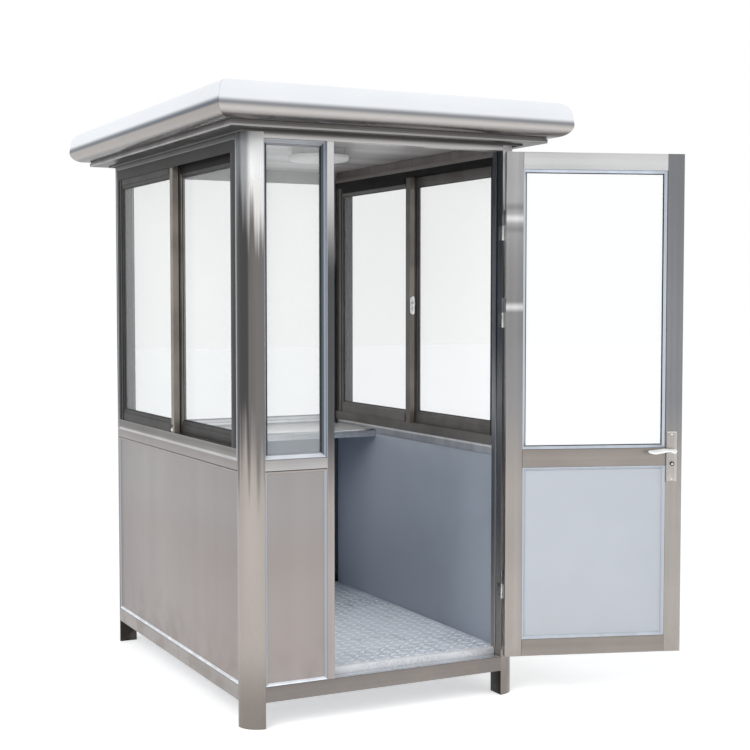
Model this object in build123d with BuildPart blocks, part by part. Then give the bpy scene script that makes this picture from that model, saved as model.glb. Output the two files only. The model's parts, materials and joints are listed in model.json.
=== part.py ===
"""Security guard booth: a stainless steel frame booth with a hinged door and a lever handle.

Millimetres. X runs across the booth, +X to the right of someone facing the door. The door is
in the front wall, which faces -Y. +Z is up. The origin is the centre of the front left post's
foot, at ground level. Sizes below are set out from the centre of the footprint, the booth
plane. The door stands open at rest.
"""

from build123d import *
from math import cos, pi, radians, sin
import os

# ---------------------------------------------------------------- driving dimensions

# Footprint and the frame of tubes
booth_width = 1200.0  # over the outer faces of the posts, along X
booth_depth = 1685.0  # over the outer faces of the posts, along Y
post_radius = 80.0  # quarter-round corner posts
post_wall = 2.0
foot_plate = 4.0  # welded plate that closes the bottom of each post
tube_wall = 2.0
leg_length = 100.0  # ground to the underside of the base rails
base_rail_height = 60.0
base_rail_depth = 76.0
floor_to_sill = 818.0  # top of the base rails to the underside of the mid rails
mid_rail_height = 42.0
sill_to_head = 1200.0  # top of the mid rails to the underside of the top rails
top_rail_height = 40.0

# Lower wall panels, beads and floor
panel_inset = 6.0  # outer skin set back from the frame's face
panel_thickness = 50.0
bead_width = 12.0
bead_thickness = 4.0
floor_thickness = 26.0
post_clearance = 1.0  # around the posts, where the floor and desk are notched

# Doorway and front bay
front_bay_width = 258.0  # fixed light between the left post and the mullion
mullion_width = 30.0

# Glazing
glass_thickness = 5.0
fixed_bead_width = 14.0
fixed_bead_depth = 16.0

# Side windows
window_depth = 66.0
window_inset = 2.0
jamb_width = 32.0
head_height = 45.0
sill_height = 40.0
track_depth = 10.0  # how far the sashes stand in the frame's channels
sash_thickness = 26.0
sash_clearance = 1.5
track_gap = 4.0  # rib between the two channels
sash_stile = 50.0
sash_top_rail = 50.0
sash_bottom_rail = 60.0
sash_overlap = 44.0
glass_rebate = 8.0
latch_height = 85.0
latch_width = 22.0
latch_base = 5.0
latch_hub = 7.0  # radius
latch_hub_rise = 6.0  # above the latch's centre
latch_grip_width = 7.0
latch_grip_length = 32.0
latch_grip = 12.0
latch_rise = 576.0  # above the mid rails' top

# Desk and ceiling
desk_depth = 450.0
desk_thickness = 34.0
desk_drop = 20.0  # desk's top below the mid rails' top
desk_edge = 8.0  # radius of the front edge
light_offset = 192.5  # in front of the booth's centre
light_radius = 115.0
light_base = 25.0
light_lens_radius = 130.0
light_lens = 25.0
light_lens_edge = 16.0

# Cornice and roof
ceiling_thickness = 12.0
cornice_band_height = 18.0
cornice_band_outset = 8.0
cornice_flange_outset = 80.0
cornice_flange_drop = 10.0  # below the top rails' top
roof_bearing = 40.0  # how far the eaves reach in over the wall
roof_overhang = 157.0
eave_lower = 49.0  # cornice to the widest line
eave_upper = 89.0  # widest line to the top
eave_upright = 30.0
eave_lean = 4.0
eave_shoulder = 56.0
eave_bottom_curve = 58.0
roof_deck_thickness = 40.0

# Door
door_open_angle = 161.0  # from closed, at rest
door_thickness = 36.0
door_hinge_gap = 5.0
door_lock_gap = 7.0
door_top_gap = 8.0
door_bottom_gap = 12.0
door_stile = 70.0
door_top_rail = 68.0
door_mid_rail = 73.0
door_bottom_rail = 69.0
door_mid_rail_drop = 4.0  # its top below the mid rails' top
door_bead_width = 12.0
door_bead_depth = 10.0
door_panel_thickness = 16.0

# Hinges
pin_forward = 9.0  # pin axis in front of the door's outer face
knuckle_radius = 6.0
pin_radius = 3.0
pin_fit = 0.1
hinge_height = 120.0
hinge_gap = 1.0
leaf_thickness = 2.0
leaf_width = 28.0
hinge_rises = (292.0, 1397.0, 1748.0)  # centres above the door's foot

# Lock and lever handle
lock_drop = 11.0  # spindle axis below the top of the door's mid rail
lock_backset = 46.0  # spindle axis from the door's lock edge
plate_width = 46.0
plate_height = 207.0
plate_corner = 5.0
plate_thickness = 9.0
plate_drop = 25.0  # plate's centre below the spindle
cylinder_radius = 9.0
cylinder_length = 8.0
cylinder_drop = 54.0
spindle_radius = 5.0
spindle_clearance = 1.0
boss_radius = 11.0
lever_standoff = 38.0
lever_length = 112.0
lever_height = 20.0
lever_thickness = 11.0
lever_wave = 7.0
lever_gap = 1.0  # boss to plate

# ---------------------------------------------------------------- places worked out

half_width = booth_width / 2
half_depth = booth_depth / 2
post_face_x = half_width - post_radius
post_face_y = half_depth - post_radius
base_rail_top = leg_length + base_rail_height
sill_bottom = base_rail_top + floor_to_sill
sill_top = sill_bottom + mid_rail_height
head_bottom = sill_top + sill_to_head
frame_top = head_bottom + top_rail_height
wall_depth = panel_inset + panel_thickness
inner_x = half_width - wall_depth
inner_y = half_depth - wall_depth
floor_top = base_rail_top + floor_thickness
desk_top = sill_top - desk_drop
mullion_left = -post_face_x + front_bay_width
mullion_right = mullion_left + mullion_width
eave_bottom = frame_top + ceiling_thickness
roof_top = eave_bottom + eave_lower + eave_upper

door_width = post_face_x - mullion_right - door_hinge_gap - door_lock_gap
door_bottom = base_rail_top + door_bottom_gap
door_top = head_bottom - door_top_gap
door_mid_rail_top = sill_top - door_mid_rail_drop
lock_height = door_mid_rail_top - lock_drop
hinge_centres = [door_bottom + rise for rise in hinge_rises]
pin_x = post_face_x - door_hinge_gap / 2
pin_y = -half_depth - pin_forward
pin_to_edge = door_hinge_gap / 2

# The booth's plane: origin at the centre of the footprint, at ground level. The front left
# foot is a quarter disc, and its centroid is the model's origin.
foot_centre = post_radius * 4 / (3 * pi)
booth = Plane(origin=(post_face_x + foot_centre, post_face_y + foot_centre, 0))

# The door's own plane: origin on the pin axis at the ground, X from the hinge edge to the
# lock edge, Y out of the booth, Z up.
open_turn = radians(180.0 + door_open_angle)
pin_foot = booth.from_local_coords(Vector(pin_x, pin_y, 0))
door_plane = Plane(origin=pin_foot, x_dir=(cos(open_turn), sin(open_turn), 0), z_dir=(0, 0, 1))
door_outer = -pin_forward
door_inner = door_outer - door_thickness
door_middle = (door_outer + door_inner) / 2
hinge_edge = pin_to_edge
lock_edge = hinge_edge + door_width
spindle_x = lock_edge - lock_backset

CORNERS = {  # turn of the quarter-round, and which side of the booth it stands on in X and Y
    "front_left": (180.0, -1, -1),
    "front_right": (270.0, 1, -1),
    "rear_right": (0.0, 1, 1),
    "rear_left": (90.0, -1, 1),
}
SIDES = {"left": -1, "right": 1}


# ---------------------------------------------------------------- shared shapes


def block(low, high, mode=Mode.ADD):
    """Add a rectangular block between two corners to the part being built."""
    sizes = [top - bottom for bottom, top in zip(low, high)]
    with Locations(low):
        Box(*sizes, align=(Align.MIN, Align.MIN, Align.MIN), mode=mode)


def tube_x(low, high):
    """Add a rectangular tube that runs along X between two corners."""
    block(low, high)
    inner_low = (low[0], low[1] + tube_wall, low[2] + tube_wall)
    inner_high = (high[0], high[1] - tube_wall, high[2] - tube_wall)
    block(inner_low, inner_high, mode=Mode.SUBTRACT)


def tube_y(low, high):
    """Add a rectangular tube that runs along Y between two corners."""
    block(low, high)
    inner_low = (low[0] + tube_wall, low[1], low[2] + tube_wall)
    inner_high = (high[0] - tube_wall, high[1], high[2] - tube_wall)
    block(inner_low, inner_high, mode=Mode.SUBTRACT)


def tube_z(low, high):
    """Add a rectangular tube that runs along Z between two corners."""
    block(low, high)
    inner_low = (low[0] + tube_wall, low[1] + tube_wall, low[2])
    inner_high = (high[0] - tube_wall, high[1] - tube_wall, high[2])
    block(inner_low, inner_high, mode=Mode.SUBTRACT)


def save(name, piece):
    """Label a finished piece and write it as one STEP file."""
    piece.part.label = name
    export_step(piece.part, f"parts/{name}.step")


os.makedirs("parts", exist_ok=True)

# ---------------------------------------------------------------- corner posts

for corner, (turn, x_sign, y_sign) in CORNERS.items():
    toward = radians(turn)
    post_plane = Plane(
        origin=booth.from_local_coords(Vector(x_sign * post_face_x, y_sign * post_face_y, 0)),
        x_dir=(cos(toward), sin(toward), 0),
        z_dir=(0, 0, 1),
    )
    with BuildPart(booth) as post:
        with BuildSketch(post_plane) as foot:
            with BuildLine():
                Line((0, 0), (post_radius, 0))
                CenterArc((0, 0), post_radius, 0, 90)
                Line((0, post_radius), (0, 0))
            make_face()
        extrude(amount=foot_plate)
        with BuildSketch(post_plane.offset(foot_plate)) as section:
            with BuildLine():
                Line((0, 0), (post_radius, 0))
                CenterArc((0, 0), post_radius, 0, 90)
                Line((0, post_radius), (0, 0))
            make_face()
            offset(amount=-post_wall, kind=Kind.INTERSECTION, mode=Mode.SUBTRACT)
        extrude(amount=frame_top - foot_plate)
    save(f"post_{corner}", post)

# ---------------------------------------------------------------- rails and mullion

with BuildPart(booth) as base_rails:
    for side in SIDES.values():
        edges_x = sorted((side * half_width, side * (half_width - base_rail_depth)))
        tube_y((edges_x[0], -post_face_y, leg_length), (edges_x[1], post_face_y, base_rail_top))
        edges_y = sorted((side * half_depth, side * (half_depth - base_rail_depth)))
        tube_x((-post_face_x, edges_y[0], leg_length), (post_face_x, edges_y[1], base_rail_top))
save("base_rails", base_rails)

with BuildPart(booth) as mid_rails:
    for side in SIDES.values():
        edges_x = sorted((side * half_width, side * inner_x))
        tube_y((edges_x[0], -post_face_y, sill_bottom), (edges_x[1], post_face_y, sill_top))
    tube_x((-post_face_x, inner_y, sill_bottom), (post_face_x, half_depth, sill_top))
    tube_x((-post_face_x, -half_depth, sill_bottom), (mullion_left, -inner_y, sill_top))
save("mid_rails", mid_rails)

with BuildPart(booth) as top_rails:
    for side in SIDES.values():
        edges_x = sorted((side * half_width, side * inner_x))
        tube_y((edges_x[0], -post_face_y, head_bottom), (edges_x[1], post_face_y, frame_top))
        edges_y = sorted((side * half_depth, side * inner_y))
        tube_x((-post_face_x, edges_y[0], head_bottom), (post_face_x, edges_y[1], frame_top))
save("top_rails", top_rails)

with BuildPart(booth) as door_mullion:
    tube_z((mullion_left, -half_depth, base_rail_top), (mullion_right, -inner_y, head_bottom))
save("door_mullion", door_mullion)

# ---------------------------------------------------------------- lower wall panels

PANEL_LIMITS = {
    "left_wall_panel": ((-half_width + panel_inset, -post_face_y), (-inner_x, post_face_y)),
    "right_wall_panel": ((inner_x, -post_face_y), (half_width - panel_inset, post_face_y)),
    "rear_wall_panel": ((-post_face_x, inner_y), (post_face_x, half_depth - panel_inset)),
    "front_bay_panel": ((-post_face_x, -half_depth + panel_inset), (mullion_left, -inner_y)),
}
for name, (low, high) in PANEL_LIMITS.items():
    with BuildPart(booth) as wall_panel:
        block((*low, base_rail_top), (*high, sill_bottom))
    save(name, wall_panel)

# Bead frames on the outer skins, between the skin and the face of the frame
skin_x = half_width - panel_inset
skin_y = half_depth - panel_inset
bay_centre = (mullion_left - post_face_x) / 2
BEAD_FACES = (  # centre of the skin, the way it faces and its width
    (Vector(-skin_x, 0, 0), Vector(-1, 0, 0), 2 * post_face_y),
    (Vector(skin_x, 0, 0), Vector(1, 0, 0), 2 * post_face_y),
    (Vector(0, skin_y, 0), Vector(0, 1, 0), 2 * post_face_x),
    (Vector(bay_centre, -skin_y, 0), Vector(0, -1, 0), front_bay_width),
)
with BuildPart(booth) as panel_beads:
    for centre, outward, width in BEAD_FACES:
        up = Vector(0, 0, 1)
        face = Plane(origin=booth.from_local_coords(centre), x_dir=up.cross(outward), z_dir=outward)
        with BuildSketch(face):
            with Locations((0, base_rail_top + floor_to_sill / 2)):
                Rectangle(width, floor_to_sill)
                Rectangle(width - 2 * bead_width, floor_to_sill - 2 * bead_width, mode=Mode.SUBTRACT)
        extrude(amount=bead_thickness)
save("panel_beads", panel_beads)

# ---------------------------------------------------------------- floor and desk

notch_x = post_face_x - post_clearance
notch_y = post_face_y - post_clearance
with BuildPart(booth) as floor_deck:
    block((-inner_x, -notch_y, base_rail_top), (inner_x, notch_y, floor_top))
    block((-notch_x, -inner_y, base_rail_top), (notch_x, inner_y, floor_top))
save("floor_deck", floor_deck)

desk_front = inner_y - desk_depth
with BuildPart(booth) as desk:
    block((-inner_x, desk_front, desk_top - desk_thickness), (inner_x, notch_y, desk_top))
    block((-notch_x, notch_y, desk_top - desk_thickness), (notch_x, inner_y, desk_top))
    fillet(desk.edges().filter_by(Axis.X).group_by(Axis.Y)[0].sort_by(Axis.Z)[-1], radius=desk_edge)
save("desk", desk)

# ---------------------------------------------------------------- side windows

frame_outer = half_width - window_inset
frame_inner = frame_outer - window_depth
channel_width = sash_thickness + 2 * sash_clearance
channels = 2 * channel_width + track_gap
track_margin = (window_depth - channels) / 2
outer_channel = frame_outer - track_margin - channel_width  # its inner side
inner_channel = outer_channel - track_gap - channel_width
sash_low = sill_top + sill_height - track_depth + sash_clearance
sash_high = head_bottom - head_height + track_depth - sash_clearance
sash_reach = post_face_y - jamb_width + track_depth - sash_clearance  # far edge of either sash

with BuildPart(booth) as left_window_frame:
    block((-frame_outer, -post_face_y, sill_top), (-frame_inner, post_face_y, head_bottom))
    light_low = (-frame_outer, -post_face_y + jamb_width, sill_top + sill_height)
    light_high = (-frame_inner, post_face_y - jamb_width, head_bottom - head_height)
    block(light_low, light_high, mode=Mode.SUBTRACT)
    for channel in (outer_channel, inner_channel):
        channel_low = (
            -channel - channel_width,
            -post_face_y + jamb_width - track_depth,
            sill_top + sill_height - track_depth,
        )
        channel_high = (
            -channel,
            post_face_y - jamb_width + track_depth,
            head_bottom - head_height + track_depth,
        )
        block(channel_low, channel_high, mode=Mode.SUBTRACT)
save("left_window_frame", left_window_frame)

SASHES = {
    "outer_sash": (outer_channel, -sash_overlap / 2, sash_reach),
    "inner_sash": (inner_channel, -sash_reach, sash_overlap / 2),
}
sashes = {}
panes = {}
for name, (channel, near, far) in SASHES.items():
    sash_inside = channel + sash_clearance
    sash_outside = sash_inside + sash_thickness
    with BuildPart(booth) as sash:
        block((-sash_outside, near, sash_low), (-sash_inside, far, sash_high))
        block(
            (-sash_outside, near + sash_stile, sash_low + sash_bottom_rail),
            (-sash_inside, far - sash_stile, sash_high - sash_top_rail),
            mode=Mode.SUBTRACT,
        )
        pane_outside = sash_inside + (sash_thickness + glass_thickness) / 2
        pane_low = (
            -pane_outside,
            near + sash_stile - glass_rebate,
            sash_low + sash_bottom_rail - glass_rebate,
        )
        pane_high = (
            glass_thickness - pane_outside,
            far - sash_stile + glass_rebate,
            sash_high - sash_top_rail + glass_rebate,
        )
        block(pane_low, pane_high, mode=Mode.SUBTRACT)
    sashes[name] = sash
    panes[name] = (pane_low, pane_high)
    save(f"left_window_{name}", sash)

with BuildPart(booth) as left_window_glass:
    for pane_low, pane_high in panes.values():
        block(pane_low, pane_high)
save("left_window_glass", left_window_glass)

# Crescent latch on the free side of the inner sash's meeting stile
latch_x = -(inner_channel + channel_width / 2)
latch_z = sill_top + latch_rise
with BuildPart(booth) as left_window_latch:
    latch_foot = booth.from_local_coords(Vector(latch_x, sash_overlap / 2, latch_z))
    latch_plane = Plane(origin=latch_foot, x_dir=(-1, 0, 0), z_dir=(0, 1, 0))
    with BuildSketch(latch_plane):
        SlotOverall(latch_height, latch_width, rotation=90)
    extrude(amount=latch_base)
    with BuildSketch(latch_plane.offset(latch_base)):
        with Locations((0, latch_hub_rise)):
            Circle(latch_hub)
        with Locations((0, latch_hub_rise - latch_grip_length / 2)):
            Rectangle(latch_grip_width, latch_grip_length)
    extrude(amount=latch_grip)
save("left_window_latch", left_window_latch)

# The right window is the same unit, turned half round
middle_plane = Plane(origin=booth.origin, z_dir=(1, 0, 0))
cross_plane = Plane(origin=booth.origin, z_dir=(0, 1, 0))
TURNED = {
    "right_window_frame": left_window_frame,
    "right_window_outer_sash": sashes["outer_sash"],
    "right_window_inner_sash": sashes["inner_sash"],
    "right_window_glass": left_window_glass,
    "right_window_latch": left_window_latch,
}
for name, source in TURNED.items():
    with BuildPart(booth) as twin:
        mirror(source.part, about=middle_plane)
        mirror(about=cross_plane, mode=Mode.REPLACE)
    save(name, twin)

# ---------------------------------------------------------------- fixed lights

light_middle = (half_depth + inner_y) / 2
FIXED_LIGHTS = {
    "front_bay": (-post_face_x, mullion_left, -light_middle),
    "rear": (-post_face_x, post_face_x, light_middle),
}
for name, (left, right, middle) in FIXED_LIGHTS.items():
    glass_low = middle - glass_thickness / 2
    glass_high = middle + glass_thickness / 2
    with BuildPart(booth) as glass:
        block((left, glass_low, sill_top), (right, glass_high, head_bottom))
    save(f"{name}_glass", glass)
    with BuildPart(booth) as beads:
        for start, end in (
            (glass_low - fixed_bead_depth, glass_low),
            (glass_high, glass_high + fixed_bead_depth),
        ):
            block((left, start, sill_top), (right, end, head_bottom))
            block(
                (left + fixed_bead_width, start, sill_top + fixed_bead_width),
                (right - fixed_bead_width, end, head_bottom - fixed_bead_width),
                mode=Mode.SUBTRACT,
            )
    save(f"{name}_glazing_beads", beads)

# ---------------------------------------------------------------- ceiling, light and cornice

deck_x = half_width - roof_bearing
deck_y = half_depth - roof_bearing
with BuildPart(booth) as ceiling_panel:
    block((-deck_x, -deck_y, frame_top), (deck_x, deck_y, eave_bottom))
save("ceiling_panel", ceiling_panel)

light_plane = Plane(origin=booth.from_local_coords(Vector(0, -light_offset, frame_top)))
with BuildPart(light_plane) as ceiling_light:
    with BuildSketch(light_plane):
        Circle(light_radius)
    extrude(amount=-light_base)
    with BuildSketch(light_plane.offset(-light_base)):
        Circle(light_lens_radius)
    extrude(amount=-light_lens)
    fillet(ceiling_light.edges().group_by(Axis.Z)[0], radius=light_lens_edge)
save("ceiling_light", ceiling_light)

with BuildPart(booth) as cornice:
    with BuildSketch(booth.offset(frame_top)):
        Rectangle(booth_width + 2 * cornice_flange_outset, booth_depth + 2 * cornice_flange_outset)
        Rectangle(2 * deck_x, 2 * deck_y, mode=Mode.SUBTRACT)
    extrude(amount=ceiling_thickness)
    for outset, drop in (
        (cornice_flange_outset, cornice_flange_drop),
        (cornice_band_outset, cornice_band_height),
    ):
        with BuildSketch(booth.offset(frame_top)):
            Rectangle(booth_width + 2 * outset, booth_depth + 2 * outset)
            Rectangle(booth_width, booth_depth, mode=Mode.SUBTRACT)
        extrude(amount=-drop)
save("cornice", cornice)

# ---------------------------------------------------------------- roof

EAVES = {
    "front_eave": (Vector(0, -1, 0), half_depth, half_width),
    "rear_eave": (Vector(0, 1, 0), half_depth, half_width),
    "left_eave": (Vector(-1, 0, 0), half_width, half_depth),
    "right_eave": (Vector(1, 0, 0), half_width, half_depth),
}
widest = eave_bottom + eave_lower
upright_top = widest + eave_upright
for name, (outward, wall, half_run) in EAVES.items():
    along = outward.cross(Vector(0, 0, 1))
    section_plane = Plane(origin=booth.origin + outward * wall, x_dir=outward, z_dir=along)
    with BuildPart(booth) as eave:
        with BuildSketch(section_plane):
            with BuildLine():
                Polyline(
                    (roof_overhang - eave_shoulder, roof_top),
                    (-roof_bearing, roof_top),
                    (-roof_bearing, eave_bottom),
                    (roof_overhang - eave_bottom_curve, eave_bottom),
                )
                EllipticalCenterArc(
                    (roof_overhang - eave_bottom_curve, widest),
                    eave_bottom_curve,
                    eave_lower,
                    start_angle=270,
                    arc_size=90,
                )
                Line((roof_overhang, widest), (roof_overhang - eave_lean, upright_top))
                EllipticalCenterArc(
                    (roof_overhang - eave_shoulder, upright_top),
                    eave_shoulder - eave_lean,
                    roof_top - upright_top,
                    start_angle=0,
                    arc_size=90,
                )
            make_face()
        extrude(amount=half_run + roof_overhang, both=True)
        for end in (1, -1):
            corner = booth.origin + outward * wall + along * (end * half_run)
            mitre = Plane(origin=corner, z_dir=along * end - outward)
            split(bisect_by=mitre, keep=Keep.BOTTOM)
    save(name, eave)

with BuildPart(booth) as roof_deck:
    block((-deck_x, -deck_y, roof_top - roof_deck_thickness), (deck_x, deck_y, roof_top))
save("roof_deck", roof_deck)

# ---------------------------------------------------------------- door

mid_rail_bottom = door_mid_rail_top - door_mid_rail
upper_low = (hinge_edge + door_stile, door_mid_rail_top)
upper_high = (lock_edge - door_stile, door_top - door_top_rail)
lower_low = (hinge_edge + door_stile, door_bottom + door_bottom_rail)
lower_high = (lock_edge - door_stile, mid_rail_bottom)
DOOR_OPENINGS = ((upper_low, upper_high), (lower_low, lower_high))

with BuildPart(door_plane) as door_frame:
    block((hinge_edge, door_inner, door_bottom), (lock_edge, door_outer, door_top))
    for low, high in DOOR_OPENINGS:
        block(
            (low[0], door_inner, low[1]),
            (high[0], door_outer, high[1]),
            mode=Mode.SUBTRACT,
        )
    with Locations(Location((spindle_x, door_middle, lock_height), (90, 0, 0))):
        Cylinder(spindle_radius + spindle_clearance, 2 * door_thickness, mode=Mode.SUBTRACT)
save("door_frame", door_frame)

with BuildPart(door_plane) as door_glass:
    block(
        (upper_low[0], door_middle - glass_thickness / 2, upper_low[1]),
        (upper_high[0], door_middle + glass_thickness / 2, upper_high[1]),
    )
save("door_glass", door_glass)

with BuildPart(door_plane) as door_panel:
    block(
        (lower_low[0], door_middle - door_panel_thickness / 2, lower_low[1]),
        (lower_high[0], door_middle + door_panel_thickness / 2, lower_high[1]),
    )
save("door_panel", door_panel)

INFILLS = (glass_thickness, door_panel_thickness)
with BuildPart(door_plane) as door_beads:
    for (low, high), infill in zip(DOOR_OPENINGS, INFILLS):
        near_face = door_middle + infill / 2
        for start, end in (
            (door_middle - infill / 2 - door_bead_depth, door_middle - infill / 2),
            (near_face, near_face + door_bead_depth),
        ):
            block((low[0], start, low[1]), (high[0], end, high[1]))
            block(
                (low[0] + door_bead_width, start, low[1] + door_bead_width),
                (high[0] - door_bead_width, end, high[1] - door_bead_width),
                mode=Mode.SUBTRACT,
            )
save("door_beads", door_beads)

# ---------------------------------------------------------------- hinges

half_hinge = (hinge_height - hinge_gap) / 2
pin_reach = half_hinge - knuckle_radius

with BuildPart(door_plane) as door_hinge_leaves:
    for centre in hinge_centres:
        bottom = centre + hinge_gap / 2
        with Locations((0, 0, bottom)):
            Cylinder(knuckle_radius, half_hinge, align=(Align.CENTER, Align.CENTER, Align.MIN))
        block(
            (hinge_edge - leaf_thickness, door_outer - leaf_width, bottom),
            (hinge_edge, 0, bottom + half_hinge),
        )
        with Locations((0, 0, bottom)):
            Cylinder(
                pin_radius + pin_fit,
                pin_reach + pin_fit,
                align=(Align.CENTER, Align.CENTER, Align.MIN),
                mode=Mode.SUBTRACT,
            )
save("door_hinge_leaves", door_hinge_leaves)

with BuildPart(Plane(origin=pin_foot)) as post_hinge_leaves:
    for centre in hinge_centres:
        bottom = centre - hinge_gap / 2 - half_hinge
        with Locations((0, 0, bottom)):
            Cylinder(knuckle_radius, half_hinge, align=(Align.CENTER, Align.CENTER, Align.MIN))
            Cylinder(
                pin_radius,
                half_hinge + hinge_gap + pin_reach,
                align=(Align.CENTER, Align.CENTER, Align.MIN),
            )
        block(
            (pin_to_edge - leaf_thickness, 0, bottom),
            (pin_to_edge, pin_forward + leaf_width, bottom + half_hinge),
        )
save("post_hinge_leaves", post_hinge_leaves)

# ---------------------------------------------------------------- lock plates and lever handle

plate_centre = lock_height - plate_drop
boss_start = plate_thickness + lever_gap
DOOR_SIDES = {
    "inner": (door_inner, -1),
    "outer": (door_outer, 1),
}


def door_side_plane(face, sign, height):
    """Plane on one face of the door, at the spindle: Y up, Z away from the door."""
    return Plane(
        origin=door_plane.from_local_coords(Vector(spindle_x, face, height)),
        x_dir=door_plane.x_dir * -sign,
        z_dir=door_plane.y_dir * sign,
    )


with BuildPart(door_plane) as lock_plates:
    for face, sign in DOOR_SIDES.values():
        plate_plane = door_side_plane(face, sign, plate_centre)
        with BuildSketch(plate_plane):
            RectangleRounded(plate_width, plate_height, plate_corner)
        extrude(amount=plate_thickness)
        with BuildSketch(plate_plane.offset(plate_thickness)):
            with Locations((0, plate_drop - cylinder_drop)):
                Circle(cylinder_radius)
        extrude(amount=cylinder_length)
        with BuildSketch(plate_plane):
            with Locations((0, plate_drop)):
                Circle(spindle_radius + spindle_clearance)
        extrude(amount=plate_thickness, mode=Mode.SUBTRACT)
save("lock_plates", lock_plates)

with BuildPart(door_plane) as lever_handle:
    for face, sign in DOOR_SIDES.values():
        # The levers point from the spindle towards the hinges
        lever_plane = door_side_plane(face, sign, lock_height)
        tip = sign * lever_length
        half = lever_height / 2
        with BuildSketch(lever_plane.offset(boss_start)):
            Circle(boss_radius)
        extrude(amount=lever_standoff)
        with BuildSketch(lever_plane.offset(boss_start + lever_standoff - lever_thickness)):
            with BuildLine():
                Spline(
                    (0, half),
                    (tip / 3, half - lever_wave / 2),
                    (2 * tip / 3, half + lever_wave / 3),
                    (tip, lever_wave),
                )
                Line((tip, lever_wave), (tip, lever_wave - half))
                Spline(
                    (tip, lever_wave - half),
                    (2 * tip / 3, -half + lever_wave / 2),
                    (tip / 3, -half - lever_wave / 3),
                    (0, -half),
                )
                Line((0, -half), (0, half))
            make_face()
        extrude(amount=lever_thickness)
    inner_plane = door_side_plane(door_inner, DOOR_SIDES["inner"][1], lock_height)
    with BuildSketch(inner_plane.offset(boss_start)):
        Circle(spindle_radius)
    extrude(amount=-(door_thickness + 2 * boss_start))
save("lever_handle", lever_handle)
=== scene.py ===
"""Dresses the security guard booth: finishes on every surface and the small parts that the solids leave out.

Metres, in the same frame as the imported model: X across the booth, the door wall faces -Y, Z up.
"""

import sys

import json
import logging
from dataclasses import dataclass, field
from enum import Enum
from functools import cache
from math import atan2, copysign, cos, pi, radians, sin
from typing import Any, Callable, ClassVar, Iterable, Sequence

import bmesh
import bpy
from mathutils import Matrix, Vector


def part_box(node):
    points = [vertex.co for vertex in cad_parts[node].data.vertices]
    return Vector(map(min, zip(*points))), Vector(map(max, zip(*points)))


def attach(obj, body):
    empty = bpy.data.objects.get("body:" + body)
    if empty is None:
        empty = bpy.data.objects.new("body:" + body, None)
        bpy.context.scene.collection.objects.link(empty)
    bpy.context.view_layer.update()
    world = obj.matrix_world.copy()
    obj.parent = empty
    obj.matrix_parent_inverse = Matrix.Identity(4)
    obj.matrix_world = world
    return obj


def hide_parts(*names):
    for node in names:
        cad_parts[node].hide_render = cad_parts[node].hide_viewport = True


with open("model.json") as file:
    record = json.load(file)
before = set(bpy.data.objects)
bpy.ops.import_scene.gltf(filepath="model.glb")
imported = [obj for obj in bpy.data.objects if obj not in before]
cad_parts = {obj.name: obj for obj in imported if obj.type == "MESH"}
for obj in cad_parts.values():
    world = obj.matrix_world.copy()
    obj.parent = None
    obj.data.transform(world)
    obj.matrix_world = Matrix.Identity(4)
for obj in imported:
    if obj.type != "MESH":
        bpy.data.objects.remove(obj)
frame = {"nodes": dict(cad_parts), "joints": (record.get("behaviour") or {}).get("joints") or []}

log = logging.getLogger("booth")
Point2 = tuple[float, float]
Point3 = tuple[float, float, float]
Outline = list[Point2]
Colour = tuple[float, float, float]
Material = bpy.types.Material
Object = bpy.types.Object
Output = bpy.types.NodeSocket

MM = 0.001
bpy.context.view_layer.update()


# ---- node trees ----


def rgb(display: int) -> Colour:
    """Turn a display colour, written 0xRRGGBB, into linear light."""
    shares = (value / 255 for value in display.to_bytes(3, "big"))
    return tuple(share / 12.92 if share <= 0.04045 else ((share + 0.055) / 1.055) ** 2.4 for share in shares)


@dataclass(frozen=True)
class Socket:
    """A number in a node tree, carried by an output, that takes Python's arithmetic."""

    tree: bpy.types.NodeTree
    output: Output

    def maths(self, operation: str, first: Any, second: Any = 0.0) -> "Socket":
        """Add one Math node.

        Args:
            operation: The Math node's operation.
            first: A Socket or a plain number.
            second: A Socket or a plain number.

        Returns:
            The node's result.
        """
        node = self.tree.nodes.new("ShaderNodeMath")
        node.operation = operation
        feed(self.tree, node.inputs[0], first)
        feed(self.tree, node.inputs[1], second)
        return Socket(self.tree, node.outputs[0])

    def __add__(self, other: Any) -> "Socket":
        """Sum."""
        return self.maths("ADD", self, other)

    def __sub__(self, other: Any) -> "Socket":
        """Difference."""
        return self.maths("SUBTRACT", self, other)

    def __rsub__(self, other: Any) -> "Socket":
        """Difference, number first."""
        return self.maths("SUBTRACT", other, self)

    def __mul__(self, other: Any) -> "Socket":
        """Product."""
        return self.maths("MULTIPLY", self, other)

    __radd__ = __add__
    __rmul__ = __mul__

    def ramp(self, low: float, high: float) -> "Socket":
        """Rise smoothly from 0 at low to 1 at high.

        Args:
            low: The value that gives 0.
            high: The value that gives 1; it may be the smaller of the two.

        Returns:
            The eased number.
        """
        node = self.tree.nodes.new("ShaderNodeMapRange")
        node.interpolation_type = "SMOOTHSTEP"
        self.tree.links.new(self.output, node.inputs["Value"])
        limits = {"From Min": min(low, high), "From Max": max(low, high)}
        limits |= {"To Min": float(low >= high), "To Max": float(low < high)}
        for name, value in limits.items():
            node.inputs[name].default_value = value
        return Socket(self.tree, node.outputs["Result"])


def feed(tree: bpy.types.NodeTree, slot: Output, value: Any) -> None:
    """Link a node's input, or set its value.

    Args:
        tree: The node's tree.
        slot: The input.
        value: A Socket, a node's output, a colour, or any plain value.
    """
    if isinstance(value, Socket):
        value = value.output
    if isinstance(value, Output):
        tree.links.new(value, slot)
    elif slot.type == "RGBA":
        slot.default_value = (*value, 1.0)
    else:
        slot.default_value = value


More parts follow.
